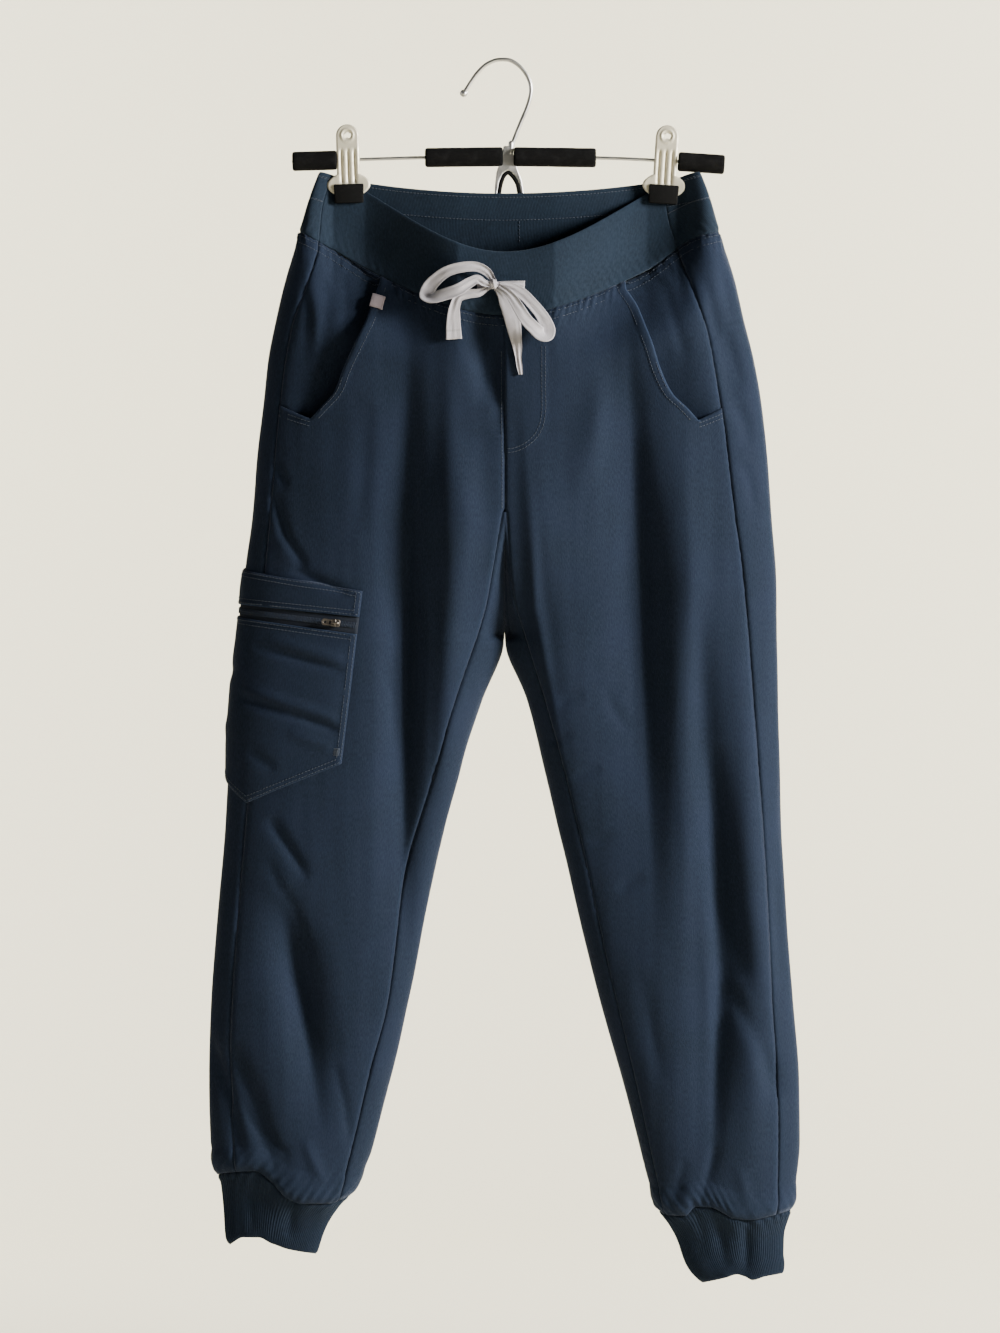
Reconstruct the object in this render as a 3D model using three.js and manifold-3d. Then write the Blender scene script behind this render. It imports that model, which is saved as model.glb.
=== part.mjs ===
// Scrub joggers with a drawcord waist, slanted hand pockets, one cargo pocket and rib cuffs,
// hanging by the waistband from a clip hanger.
//
// Millimetres, +Z up. The front faces -Y, and the wearer's right is at -X. The origin is the
// underside of the hook's crown, where the hanger hangs. A "drop" is a distance below it.
import * as THREE from 'three';
import { mergeVertices } from 'three/addons/utils/BufferGeometryUtils.js';
import Module from 'manifold-3d';

const wasm = await Module();
wasm.setup();

// ---------------------------------------------------------------------------------------------
// Driving sizes
// ---------------------------------------------------------------------------------------------
const PANEL_WALL = 1.3; // stretch twill with its seam allowances
const BAND_WALL = 2.0; // waistband: two layers of cloth over elastic
const CUFF_WALL = 1.6;
const POCKET_WALL = 1.2;
const SEAM = 0.3; // clear gap where two pieces meet

const RIM_DROP = 97; // waistband rim at the side folds
const WAIST_DROP = 157; // waist seam at the side folds
const SAG_END_DROP = 386; // below here the cloth's rows run level
const FORK_DROP = 397; // front end of the crotch, where four seams meet
const BACK_FORK_DROP = 450; // back end of the crotch's curve
const CROTCH_DROP = 509; // lowest point of the crotch
const LEG_SHAPE_DROPS = [370, 640]; // away from the crotch the section changes between these
const HEM_START_DROP = 900; // from here down rows bend to follow the cuff seam
const POCKET_END_DROP = 310; // foot of the hand-pocket mouth
const TORSO_ROUNDNESS = 2.3; // exponent of the rounded section, 2 is an ellipse
const LEG_ROUNDNESS = 2.2;

// Each row is a level section of the hung garment: how far it reaches to each side, and in the
// legs how far from the middle its inner edge lies; then how deep it is in front of and behind
// its own middle, and where that middle lies.
const SECTIONS = table(
  ['drop', 'outerR', 'innerR', 'innerL', 'outerL', 'front', 'back', 'middle'],
  [97, 163, 0.3, 0.3, 172, 30, 4, -9.5],
  [118, 171, 0.3, 0.3, 180, 36, 6, -8],
  [157, 182.6, 0.3, 0.3, 191.4, 46, 14, -3.5],
  [192, 192.3, 0.3, 0.3, 202.8, 48, 22, 0],
  [228, 201, 0.3, 0.3, 210.8, 46, 30, 0],
  [263, 208, 0.3, 0.3, 219.6, 44, 37, 0],
  [298, 211.6, 0.3, 0.3, 225.7, 43, 41, 0],
  [351, 217.8, 0.3, 0.3, 231.9, 42, 44, 0],
  [404, 222.2, 0.3, 0.3, 235.4, 41, 45, 0],
  [456, 229.2, 0.3, 0.3, 238.9, 39, 44, 0],
  [509, 233.6, 0.3, 0.3, 239.8, 36, 41, 0],
  [562, 238, 19.8, 19.8, 240.7, 33, 38, 0],
  [615, 242.4, 36.5, 33, 242.4, 31, 35, 0],
  [685, 246.8, 55, 49.7, 244.2, 30, 33, 0],
  [756, 253, 70.8, 66.4, 248.6, 29, 31, 0],
  [826, 258.3, 84, 84, 253.9, 28, 30, 0],
  [896, 260, 100.8, 103.4, 259.2, 27, 28, 0],
  [949, 259.2, 116.6, 117.5, 260, 26, 27, 0],
  [985, 254.8, 135, 126.5, 257, 24, 24, 0],
  [1010, 250, 142, 134.2, 253.9, 23, 23, 0],
);

// Where the seams lie, as distances from the middle seen from the front.
const SIDE_SEAMS = table(
  ['drop', 'right', 'left'],
  [97, 152, 140], [126, 160, 143.9], [163, 163.5, 153.6], [190, 173.8, 166],
  [229, 187, 179], [271, 194, 186], [307, 198, 191.4], [344, 201.5, 195.8],
  [400, 206, 202.4], [451, 210.8, 209.4], [615, 223, 222.2], [742, 233.6, 230.2],
  [820, 239.2, 234], [880, 241.6, 238.4], [940, 240.4, 240.6], [985, 236, 240],
  [1012, 234, 239],
);
const INSEAMS = table(
  ['drop', 'right', 'left'],
  [397, 1.5, 1.5], [449, 10.5, 5], [476, 15.4, 9], [505, 24, 17.6], [544, 38.3, 29.6],
  [580, 50.6, 40.7], [620, 60.8, 51.5], [710, 84.9, 72.4], [787, 96, 89], [834, 103.6, 100.1],
  [876, 114.8, 110], [924, 127.2, 121], [966, 140.4, 130.3], [985, 146, 134.8],
  [1014, 150, 142],
);

// The mouth of each hand pocket, down from the waist seam to its foot.
const POCKET_MOUTHS = {
  R: table(['x', 'drop'], [108.7, 192], [121, 229], [131.6, 252], [140.4, 271], [148.3, 291],
    [161.5, 306], [172, 317]),
  L: table(['x', 'drop'], [106, 200], [117.5, 219], [128, 246], [136, 271], [146.5, 293],
    [159.7, 306], [170, 317]),
};

// The seam between leg and cuff, and the cuff's hem, from the outer fold (0) to the inner (1).
const CUFF_SEAMS = {
  R: { level: 985, curve: table(['across', 'drop'], [0, 979], [0.1, 976.4], [0.3, 974.6],
    [0.42, 984], [0.53, 998], [0.66, 1003.6], [0.84, 1003.6], [1, 998]) },
  L: { level: 1010, curve: table(['across', 'drop'], [0, 1010], [0.13, 1013.3], [0.32, 1017.7],
    [0.45, 1016], [0.52, 1011.5], [0.62, 1006.3], [0.72, 1006], [0.8, 1014.2],
    [0.93, 1014.2], [1, 1011]) },
};
const CUFF_HEMS = {
  R: table(['across', 'drop'], [0, 1040.6], [0.18, 1033.6], [0.36, 1033.6], [0.5, 1039],
    [0.67, 1044], [1, 1048.5]),
  L: table(['across', 'drop'], [0, 1065.5], [0.25, 1068], [0.4, 1071], [0.48, 1068],
    [0.56, 1066], [0.7, 1069], [1, 1074]),
};
// A cuff's own outline, from its seam (0) to its hem (1).
const CUFF_OUTLINES = {
  R: table(['down', 'outer', 'inner', 'depth'], [0, 253, 136, 22], [0.12, 249.6, 143, 19],
    [0.5, 247, 156, 14], [0.9, 245, 163.5, 13], [1, 242.5, 165.5, 12.5]),
  L: table(['down', 'outer', 'inner', 'depth'], [0, 252.5, 135, 21], [0.15, 249.5, 143, 18],
    [0.4, 246, 152, 14], [0.7, 245.5, 158.5, 13], [0.85, 246.5, 164, 13], [1, 246, 173, 12.5]),
};
const CUFF_RIBS = 36;
const CUFF_HALF = { wide: 46, deep: 14 }; // half sizes of a cuff, used to space its ribs evenly
const RIB_HEIGHT = 0.5;

// The largest folds, each a path through three places on one face of the cloth, with its half
// width and how far it stands out (a trough is negative).
const FOLDS = table(
  ['face', 'x0', 'drop0', 'x1', 'drop1', 'x2', 'drop2', 'width', 'height'],
  // front of the wearer's right leg
  ['front', -204, 380, -193, 417, -174, 446, 9, -4],
  ['front', -190, 440, -165, 456, -138, 464, 8, -3],
  ['front', -207, 664, -190, 690, -172, 718, 9, -4],
  ['front', -195, 722, -172, 815, -146, 940, 17, -8],
  ['front', -243, 862, -219, 918, -196, 990, 10, -5],
  ['front', -74, 400, -68, 610, -86, 800, 24, -9],
  ['front', -42, 320, -32, 406, -38, 500, 16, 5],
  ['front', -127, 141, -116, 160, -104, 180, 8, -3],
  // front of the wearer's left leg
  ['front', 87, 270, 78, 330, 68, 390, 15, 5],
  ['front', 115, 270, 131, 500, 142, 720, 19, -8],
  ['front', 169, 460, 171, 560, 170, 665, 12, -5],
  ['front', 184, 600, 197, 740, 229, 868, 10, -6],
  ['front', 198, 812, 212, 840, 224, 868, 8, -4],
  ['front', 223, 862, 232, 885, 240, 912, 8, -4],
  ['front', 192, 870, 187, 940, 174, 1004, 17, -7],
  ['front', 36, 606, 50, 594, 66, 586, 7, -3],
  ['front', 73, 694, 86, 682, 102, 672, 7, -3],
  ['front', 112, 132, 122, 158, 132, 184, 8, -3],
  ['front', 181, 210, 196, 262, 206, 325, 11, -4],
  // seat and backs of the legs
  ['back', -72, 215, -96, 340, -112, 500, 20, -6],
  ['back', -150, 540, -168, 760, -152, 960, 18, -7],
  ['back', -190, 290, -182, 360, -170, 430, 12, -4],
  ['back', -18, 486, -56, 452, -104, 436, 12, -4],
  ['back', 64, 210, 84, 330, 100, 470, 20, -6],
  ['back', 138, 510, 158, 740, 190, 930, 18, -7],
  ['back', 208, 630, 214, 700, 204, 790, 11, -4],
  ['back', 18, 482, 58, 444, 100, 424, 12, -4],
);

// The two clips: where each crosses the bar and where it nips the waistband, and its lean.
const CLIPS = [
  { name: 'right', barX: -137.7, x: -136.8, lean: -1.6 },
  { name: 'left', barX: 141.7, x: 139.5, lean: 3.8 },
];
const NIP = { half: 2.6, flat: 22, inward: 84, outward: 46, fromDrop: 124, toDrop: 225 };

const COLOURS = {
  cloth: 0x2b3350, band: 0x2a3a4c, cuff: 0x28384c, tape: 0xb9bac9, zip: 0x1b2231, label: 0x8d7f88,
  chrome: 0xd8d9dc, enamel: 0xd9d3c4, foam: 0x17171a, rubber: 0x1d1e22, bronze: 0xa9977c,
};

// ---------------------------------------------------------------------------------------------
// Small tools
// ---------------------------------------------------------------------------------------------
function table(columns, ...rows) {
  return rows.map((row) => Object.fromEntries(columns.map((name, i) => [name, row[i]])));
}
function clamp01(value) {
  return Math.min(1, Math.max(0, value));
}
function mix(a, b, t) {
  return a + (b - a) * t;
}
function smooth(from, to, value) {
  const t = clamp01((value - from) / (to - from));
  return t * t * (3 - 2 * t);
}
function signedPower(value, power) {
  return Math.sign(value) * Math.abs(value) ** power;
}

// One column of a table as a smooth curve along another, which keeps between its neighbours.
function columnCurve(rows, along, name) {
  const at = rows.map((row) => row[along]);
  const value = rows.map((row) => row[name]);
  const rise = at.slice(1).map((a, i) => (value[i + 1] - value[i]) / (a - at[i]));
  const slope = at.map((_, i) => {
    if (i === 0) return rise[0];
    if (i === at.length - 1) return rise[i - 1];
    if (rise[i - 1] * rise[i] <= 0) return 0;
    return (2 * rise[i - 1] * rise[i]) / (rise[i - 1] + rise[i]);
  });
  return (place) => {
    const p = Math.min(at[at.length - 1], Math.max(at[0], place));
    let i = 0;
    while (i < at.length - 2 && p > at[i + 1]) i += 1;
    const span = at[i + 1] - at[i];
    const t = (p - at[i]) / span;
    const keep = (1 + 2 * t) * (1 - t) ** 2;
    const gain = t * t * (3 - 2 * t);
    const early = t * (1 - t) ** 2 * span * slope[i];
    const late = t * t * (t - 1) * span * slope[i + 1];
    return keep * value[i] + gain * value[i + 1] + early + late;
  };
}

// ---------------------------------------------------------------------------------------------
// The cloth's surface
//
// A half is one side of the garment. Its level section is a loop: "turn" 0 is the front middle
// (in the leg, the inner fold), 1 the outer fold and 2 the back middle (the inner fold again).
// ---------------------------------------------------------------------------------------------
const frontDepth = columnCurve(SECTIONS, 'drop', 'front');
const backDepth = columnCurve(SECTIONS, 'drop', 'back');
const middleDepth = columnCurve(SECTIONS, 'drop', 'middle');

function makeHalf(letter, sign, seamColumn) {
  return {
    letter,
    sign,
    outer: columnCurve(SECTIONS, 'drop', `outer${letter}`),
    inner: columnCurve(SECTIONS, 'drop', `inner${letter}`),
    sideSeam: columnCurve(SIDE_SEAMS, 'drop', seamColumn),
    inseam: columnCurve(INSEAMS, 'drop', seamColumn),
    hemLevel: CUFF_SEAMS[letter].level,
    cuffSeam: columnCurve(CUFF_SEAMS[letter].curve, 'across', 'drop'),
    cuffHem: columnCurve(CUFF_HEMS[letter], 'across', 'drop'),
  };
}
const HALVES = { R: makeHalf('R', -1, 'right'), L: makeHalf('L', 1, 'left') };

// How far the closed ring of a leg has taken over from the open half of the torso: at once
// round the crotch, and slowly away from it.
function forked(level, turn) {
  const start = turn < 1 ? FORK_DROP : BACK_FORK_DROP;
  const t = clamp01((level - start) / (CROTCH_DROP - start));
  const atCrotch = 1 - (1 - t ** 1.6) ** 0.6;
  const elsewhere = smooth(LEG_SHAPE_DROPS[0], LEG_SHAPE_DROPS[1], level);
  const fromMiddle = turn < 1 ? turn : 2 - turn;
  return mix(atCrotch, elsewhere, smooth(0, 0.5, fromMiddle));
}

// How far a row hangs below its level: the front sags most between the clips.
function sagFront(level, across) {
  const most = level < WAIST_DROP ? 72 : 73 * (1 - smooth(WAIST_DROP, SAG_END_DROP, level));
  const shape = mix(1.5, 1.15, smooth(RIM_DROP, WAIST_DROP, level));
  return most * Math.cos((across * Math.PI) / 2) ** shape;
}
function sagBack(level, across) {
  const most = level < WAIST_DROP ? 19 : 19 * (1 - smooth(WAIST_DROP, 300, level));
  return most * Math.cos((across * Math.PI) / 2) ** 0.75;
}

// The nip of the clips at one place along the waistband, from 0 (free) to 1 (flat).
function nipAt(x, level) {
  const down = 1 - smooth(NIP.fromDrop, NIP.toDrop, level);
  let most = 0;
  for (const clip of CLIPS) {
    const away = Math.abs(x - clip.x);
    const inwards = Math.abs(x) < Math.abs(clip.x);
    const reach = inwards ? NIP.inward : NIP.outward;
    most = Math.max(most, 1 - smooth(NIP.flat, reach, away));
  }
  return most * down;
}

// A place on the section without folds: x is measured out from the middle of the garment.
function sectionPlace(half, level, turnAround) {
  const turn = turnAround > 2 ? turnAround - 2 : turnAround;
  const outer = half.outer(level);
  const inner = half.inner(level);
  const front = frontDepth(level);
  const back = backDepth(level);
  const leg = forked(level, turn);
  const a = (turn * Math.PI) / 2;
  const b = turn * Math.PI;
  const torsoX = outer * signedPower(Math.sin(a), 2 / TORSO_ROUNDNESS);
  const torsoIn = signedPower(Math.cos(a), 2 / TORSO_ROUNDNESS);
  const legMiddle = (outer + inner) / 2;
  const legX = legMiddle - ((outer - inner) / 2) * signedPower(Math.cos(b), 2 / LEG_ROUNDNESS);
  const legIn = signedPower(Math.sin(b), 2 / LEG_ROUNDNESS);
  const x = Math.max(SEAM / 2, mix(torsoX, legX, leg));
  const depth = mix(torsoIn, legIn, leg);
  const facing = depth >= 0 ? 'front' : 'back';
  let y = middleDepth(level) - depth * (depth > 0 ? front : back);
  const flat = (depth >= 0 ? -1 : 1) * Math.min(NIP.half, Math.abs(depth) * 20);
  y = mix(y, flat, nipAt(half.sign * x, level));
  const across = clamp01(x / outer);
  const fall = depth >= 0 ? sagFront(level, across) : sagBack(level, across);
  const legAcross = clamp01((outer - x) / (outer - inner));
  const hem = smooth(HEM_START_DROP, half.hemLevel, level) * (half.cuffSeam(legAcross) - half.hemLevel);
  const drop = level + fall + hem;
  return { x, y, drop, facing, turned: Math.abs(depth) };
}

// How far the folds move the cloth out at one place.
function foldHeight(face, x, drop, turned) {
  let height = 0;
  for (const fold of FOLDS) {
    if (fold.face !== face || Math.sign(fold.x1) !== Math.sign(x)) continue;
    const { away, along } = nearPath(fold, x, drop);
    height += fold.height * Math.exp(-((away / fold.width) ** 2)) * Math.sin(Math.PI * along) ** 0.6;
  }
  return height * smooth(0.02, 0.35, turned);
}
function nearPath(fold, x, drop) {
  const first = nearLine(fold.x0, fold.drop0, fold.x1, fold.drop1, x, drop);
  const second = nearLine(fold.x1, fold.drop1, fold.x2, fold.drop2, x, drop);
  if (first.away < second.away) return { away: first.away, along: first.along / 2 };
  return { away: second.away, along: (1 + second.along) / 2 };
}
function nearLine(x0, d0, x1, d1, x, drop) {
  const dx = x1 - x0;
  const dd = d1 - d0;
  const along = clamp01(((x - x0) * dx + (drop - d0) * dd) / (dx * dx + dd * dd));
  return { along, away: Math.hypot(x - x0 - along * dx, drop - d0 - along * dd) };
}

// The finished surface point, before the wall's thickness is given to it.
function surfacePoint(half, level, turn) {
  const step = 0.004;
  const here = sectionPlace(half, level, turn);
  const before = sectionPlace(half, level, Math.max(0, turn - step));
  const after = sectionPlace(half, level, turn + step > 2 && level < CROTCH_DROP ? 2 : turn + step);
  const dx = half.sign * (after.x - before.x);
  const dy = after.y - before.y;
  const size = Math.hypot(dx, dy) || 1;
  const free = 1 - nipAt(half.sign * here.x, level);
  const height = free * foldHeight(here.facing, half.sign * here.x, here.drop, here.turned);
  const x = half.sign * here.x + (half.sign * dy * height) / size;
  const y = here.y - (half.sign * dx * height) / size;
  const clear = half.sign * Math.max(SEAM / 2, half.sign * x);
  return new THREE.Vector3(clear, y, -here.drop);
}

// Surface point with the direction that faces out of the cloth.
function surfaceFrame(half, level, turn) {
  const lastTurn = level < CROTCH_DROP ? 2 : 4;
  const a = surfacePoint(half, level, Math.max(0, turn - 0.01));
  const b = surfacePoint(half, level, Math.min(lastTurn, turn + 0.01));
  const up = surfacePoint(half, Math.max(RIM_DROP, level - 2), turn);
  const down = surfacePoint(half, Math.min(half.hemLevel, level + 2), turn);
  const normal = b.sub(a).cross(down.sub(up)).normalize();
  if (half.sign > 0) normal.negate();
  return { point: surfacePoint(half, level, turn), normal };
}

// The turn at which the front of a section lies a distance x from the middle.
function turnAtX(half, level, x) {
  let low = 0;
  let high = 1;
  for (let i = 0; i < 40; i += 1) {
    const middle = (low + high) / 2;
    if (sectionPlace(half, level, middle).x < x) low = middle;
    else high = middle;
  }
  return (low + high) / 2;
}

// The level whose front row passes through a place seen from the front.
function levelAt(half, x, drop) {
  let level = drop;
  for (let i = 0; i < 60; i += 1) {
    level = drop - sagFront(level, clamp01(x / half.outer(level)));
  }
  return level;
}

// Turns between two ends, spread by length along the section and closer round its folds.
function spreadTurns(half, level, from, to, count) {
  const samples = 60;
  const bend = 130;
  const reach = [0];
  let last = sectionPlace(half, level, from);
  for (let i = 1; i <= samples; i += 1) {
    const next = sectionPlace(half, level, mix(from, to, i / samples));
    const length = Math.hypot(next.x - last.x, next.y - last.y) + (bend * (to - from)) / samples;
    reach.push(reach[i - 1] + length);
    last = next;
  }
  const turns = [];
  let i = 0;
  for (let k = 0; k <= count; k += 1) {
    const wanted = (reach[samples] * k) / count;
    while (i < samples - 1 && reach[i + 1] < wanted) i += 1;
    const part = clamp01((wanted - reach[i]) / (reach[i + 1] - reach[i]));
    turns.push(mix(from, to, (i + part) / samples));
  }
  return turns;
}

// ---------------------------------------------------------------------------------------------
// Closed walls from a patch of cells
// ---------------------------------------------------------------------------------------------
function geometryFrom(points, triangles) {
  const positions = points.flatMap((p) => [p.x, p.y, p.z]);
  let volume = 0;
  for (const [a, b, c] of triangles) {
    volume += points[a].dot(new THREE.Vector3().crossVectors(points[b], points[c]));
  }
  const facing = volume > 0 ? triangles : triangles.map(([a, b, c]) => [a, c, b]);
  const geometry = new THREE.BufferGeometry();
  geometry.setAttribute('position', new THREE.Float32BufferAttribute(positions, 3));
  geometry.setIndex(facing.flat());
  return geometry;
}

// An outer face, its copy inside, and a rim along every open edge.
function closedWall(outer, inner, faces) {
  const count = outer.length;
  const edges = new Set(faces.flatMap(([a, b, c]) => [`${a},${b}`, `${b},${c}`, `${c},${a}`]));
  const triangles = faces.flatMap(([a, b, c]) => [[a, b, c], [a + count, c + count, b + count]]);
  for (const edge of edges) {
    const [a, b] = edge.split(',').map(Number);
    if (edges.has(`${b},${a}`)) continue;
    triangles.push([b, a, a + count], [b, a + count, b + count]);
  }
  return geometryFrom([...outer, ...inner], triangles);
}

// place(row, column) gives a surface frame; isCloth leaves cells out; sameAs welds columns.
function patchWall(rows, columns, wall, place, isCloth = () => true, sameAs = (i, j) => [i, j]) {
  const ids = new Map();
  const outer = [];
  const inner = [];
  const vertex = (row, column) => {
    const [i, j] = sameAs(row, column);
    const key = i * 1000 + j;
    if (!ids.has(key)) {
      const { point, normal } = place(i, j);
      ids.set(key, outer.length);
      outer.push(point);
      inner.push(point.clone().addScaledVector(normal, -wall));
    }
    return ids.get(key);
  };
  const faces = [];
  for (let i = 0; i < rows - 1; i += 1) {
    for (let j = 0; j < columns - 1; j += 1) {
      if (!isCloth(i, j)) continue;
      const corners = [vertex(i, j), vertex(i + 1, j), vertex(i + 1, j + 1), vertex(i, j + 1)];
      faces.push([corners[0], corners[1], corners[2]], [corners[0], corners[2], corners[3]]);
    }
  }
  return closedWall(outer, inner, faces);
}

function steps(from, to, count) {
  return Array.from({ length: count }, (_, i) => mix(from, to, i / count));
}

// ---------------------------------------------------------------------------------------------
// Panels
// ---------------------------------------------------------------------------------------------
function panelRows(half) {
  return [
    ...steps(WAIST_DROP + SEAM, POCKET_END_DROP, 7),
    ...steps(POCKET_END_DROP, FORK_DROP, 3),
    ...steps(FORK_DROP, 480, 4),
    480, 496, 505,
    ...steps(CROTCH_DROP, HEM_START_DROP, 11),
    ...steps(HEM_START_DROP, half.hemLevel - 22, 3),
    half.hemLevel - 22, half.hemLevel - 9, half.hemLevel - SEAM / 2,
  ];
}

// The turn of the hand pocket's mouth on each row of the hip.
function makePocketMouth(half) {
  const levels = POCKET_MOUTHS[half.letter].map(({ x, drop }) => ({ x, level: levelAt(half, x, drop) }));
  const mouthX = columnCurve(levels, 'level', 'x');
  return (level) => turnAtX(half, level, mouthX(level));
}
const POCKET_TURNS = { R: makePocketMouth(HALVES.R), L: makePocketMouth(HALVES.L) };

// The front cloth stands a little open along the pocket's mouth.
function mouthLift(half, level, turn) {
  if (level > POCKET_END_DROP) return 0;
  const along = clamp01((level - WAIST_DROP) / (POCKET_END_DROP - WAIST_DROP));
  const away = (POCKET_TURNS[half.letter](level) - turn) / 0.1;
  return 3.2 * Math.sin(Math.PI * along) ** 0.7 * Math.exp(-(away * away));
}

function liftedFrame(half, level, turn, lift) {
  const frame = surfaceFrame(half, level, turn);
  frame.point.addScaledVector(frame.normal, lift);
  return frame;
}

function frontPanel(half) {
  const rows = panelRows(half);
  const mainColumns = 11;
  const hipColumns = 3;
  const turns = rows.map((level) => {
    const start = level < FORK_DROP ? 0 : turnAtX(half, level, half.inseam(level) + SEAM / 2);
    const mouth = POCKET_TURNS[half.letter](Math.min(level, POCKET_END_DROP));
    const side = turnAtX(half, level, half.sideSeam(level) - SEAM / 2);
    const edge = level <= POCKET_END_DROP ? mouth : mix(mouth, side, 0.1);
    const main = spreadTurns(half, level, start, Math.min(edge, side - 0.06), mainColumns);
    return [...main, ...spreadTurns(half, level, main[mainColumns], side, hipColumns).slice(1)];
  });
  const place = (i, j) => liftedFrame(half, rows[i], turns[i][j], mouthLift(half, rows[i], turns[i][j]));
  const isCloth = (i, j) => j < mainColumns || rows[i] >= POCKET_END_DROP - 1;
  return patchWall(rows.length, mainColumns + hipColumns + 1, PANEL_WALL, place, isCloth);
}

// The back panel runs from the side seam round the back, and in the leg on past the inner fold
// to the inseam; above the crotch that last strip is its fork, seen between the legs.
function backPanel(half) {
  const rows = panelRows(half);
  const backColumns = 13;
  const forkColumns = 3;
  const turns = rows.map((level) => {
    const side = turnAtX(half, level, half.sideSeam(level) + SEAM / 2);
    const inseam = turnAtX(half, level, half.inseam(level) - SEAM / 2);
    const main = spreadTurns(half, level, side, 2, backColumns);
    return [...main, ...steps(0, inseam, forkColumns), inseam];
  });
  const place = (i, j) => surfaceFrame(half, rows[i], turns[i][j]);
  const isCloth = (i, j) => {
    if (j < backColumns) return true;
    return j > backColumns && rows[i] >= FORK_DROP - 1;
  };
  const sameAs = (i, j) => (j === backColumns + 1 && rows[i] >= CROTCH_DROP ? [i, backColumns] : [i, j]);
  return patchWall(rows.length, backColumns + forkColumns + 2, PANEL_WALL, place, isCloth, sameAs);
}

// The hip cloth behind the slanted mouth: it runs a little way under the front panel.
function pocketBearer(half) {
  const rows = panelRows(half).filter((level) => level < POCKET_END_DROP + 1);
  const under = 2.4;
  const columns = 7;
  const turns = rows.map((level) => {
    const mouth = POCKET_TURNS[half.letter](level);
    const side = turnAtX(half, level, half.sideSeam(level) - SEAM);
    return spreadTurns(half, level, mouth - 0.07, side, columns);
  });
  const place = (i, j) => {
    const last = rows.length - 1;
    const level = i === last ? rows[i] - 1.2 : rows[i];
    const sink = under * (1 - smooth(0.3, 0.95, j / columns));
    return liftedFrame(half, level, turns[i][j], -sink);
  };
  return patchWall(rows.length, columns + 1, PANEL_WALL, place);
}

// ---------------------------------------------------------------------------------------------
// Waistband
// ---------------------------------------------------------------------------------------------
const BAND_LEVELS = [RIM_DROP, 110, 126, 142, WAIST_DROP - SEAM];

function waistbandFront() {
  const columns = 14;
  const turnsOn = (half, level) => {
    const side = turnAtX(half, level, half.sideSeam(level) - SEAM / 2);
    return spreadTurns(half, level, 0, side, columns);
  };
  const right = BAND_LEVELS.map((level) => turnsOn(HALVES.R, level).reverse());
  const left = BAND_LEVELS.map((level) => turnsOn(HALVES.L, level));
  return bandAcross(columns, right, left);
}
function waistbandBack() {
  const columns = 18;
  const turnsOn = (half, level) => {
    const side = turnAtX(half, level, half.sideSeam(level) + SEAM / 2);
    return spreadTurns(half, level, side, 2, columns);
  };
  const right = BAND_LEVELS.map((level) => turnsOn(HALVES.R, level));
  const left = BAND_LEVELS.map((level) => turnsOn(HALVES.L, level).reverse());
  return bandAcross(columns, right, left);
}
// A band from one side seam to the other; both halves share the column at the middle.
function bandAcross(columns, right, left) {
  const place = (i, j) => {
    if (j < columns) return surfaceFrame(HALVES.R, BAND_LEVELS[i], right[i][j]);
    const frame = surfaceFrame(HALVES.L, BAND_LEVELS[i], left[i][j - columns]);
    if (j === columns) frame.point.x = 0;
    return frame;
  };
  return patchWall(BAND_LEVELS.length, 2 * columns + 1, BAND_WALL, place);
}

// ---------------------------------------------------------------------------------------------
// Cuffs: a tube of ribbed cloth, ribs raised in its outer face
// ---------------------------------------------------------------------------------------------
function cuff(half) {
  const outline = CUFF_OUTLINES[half.letter];
  const outerAt = columnCurve(outline, 'down', 'outer');
  const innerAt = columnCurve(outline, 'down', 'inner');
  const depthAt = columnCurve(outline, 'down', 'depth');
  const around = CUFF_RIBS * 2;
  const downs = [0, 0.12, 0.5, 1];
  const angles = cuffAngles(around);
  const place = (i, j) => {
    const down = downs[i];
    const angle = angles[j % around];
    const across = (1 - Math.cos(angle)) / 2;
    const radius = (outerAt(down) - innerAt(down)) / 2;
    const x = outerAt(down) - radius * (1 - signedPower(Math.cos(angle), 0.92));
    const y = -depthAt(down) * signedPower(Math.sin(angle), 0.92);
    const top = half.cuffSeam(across) + SEAM;
    const drop = mix(top, half.cuffHem(across), down);
    const normal = new THREE.Vector3(
      (half.sign * Math.cos(angle)) / radius,
      -Math.sin(angle) / depthAt(down),
      0,
    ).normalize();
    const point = new THREE.Vector3(half.sign * x, y, -drop);
    return { point, normal, rib: j % 2 };
  };
  const ribbed = (i, j) => {
    const frame = place(i, j);
    const rib = frame.rib * RIB_HEIGHT * smooth(0, 0.1, downs[i]);
    frame.point.addScaledVector(frame.normal, rib);
    return frame;
  };
  const sameAs = (i, j) => [i, j % around];
  return patchWall(downs.length, around + 1, CUFF_WALL, ribbed, () => true, sameAs);
}

// Even spacing along the flat oval of a cuff.
function cuffAngles(count) {
  const samples = 720;
  const reach = [0];
  for (let i = 1; i <= samples; i += 1) {
    const a = (i * 2 * Math.PI) / samples;
    reach.push(reach[i - 1] + Math.hypot(Math.sin(a) * CUFF_HALF.wide, Math.cos(a) * CUFF_HALF.deep));
  }
  const angles = [];
  let i = 0;
  for (let k = 0; k < count; k += 1) {
    const wanted = (reach[samples] * k) / count;
    while (i < samples - 1 && reach[i + 1] < wanted) i += 1;
    angles.push((2 * Math.PI * (i + (wanted - reach[i]) / (reach[i + 1] - reach[i]))) / samples);
  }
  return angles;
}

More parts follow.
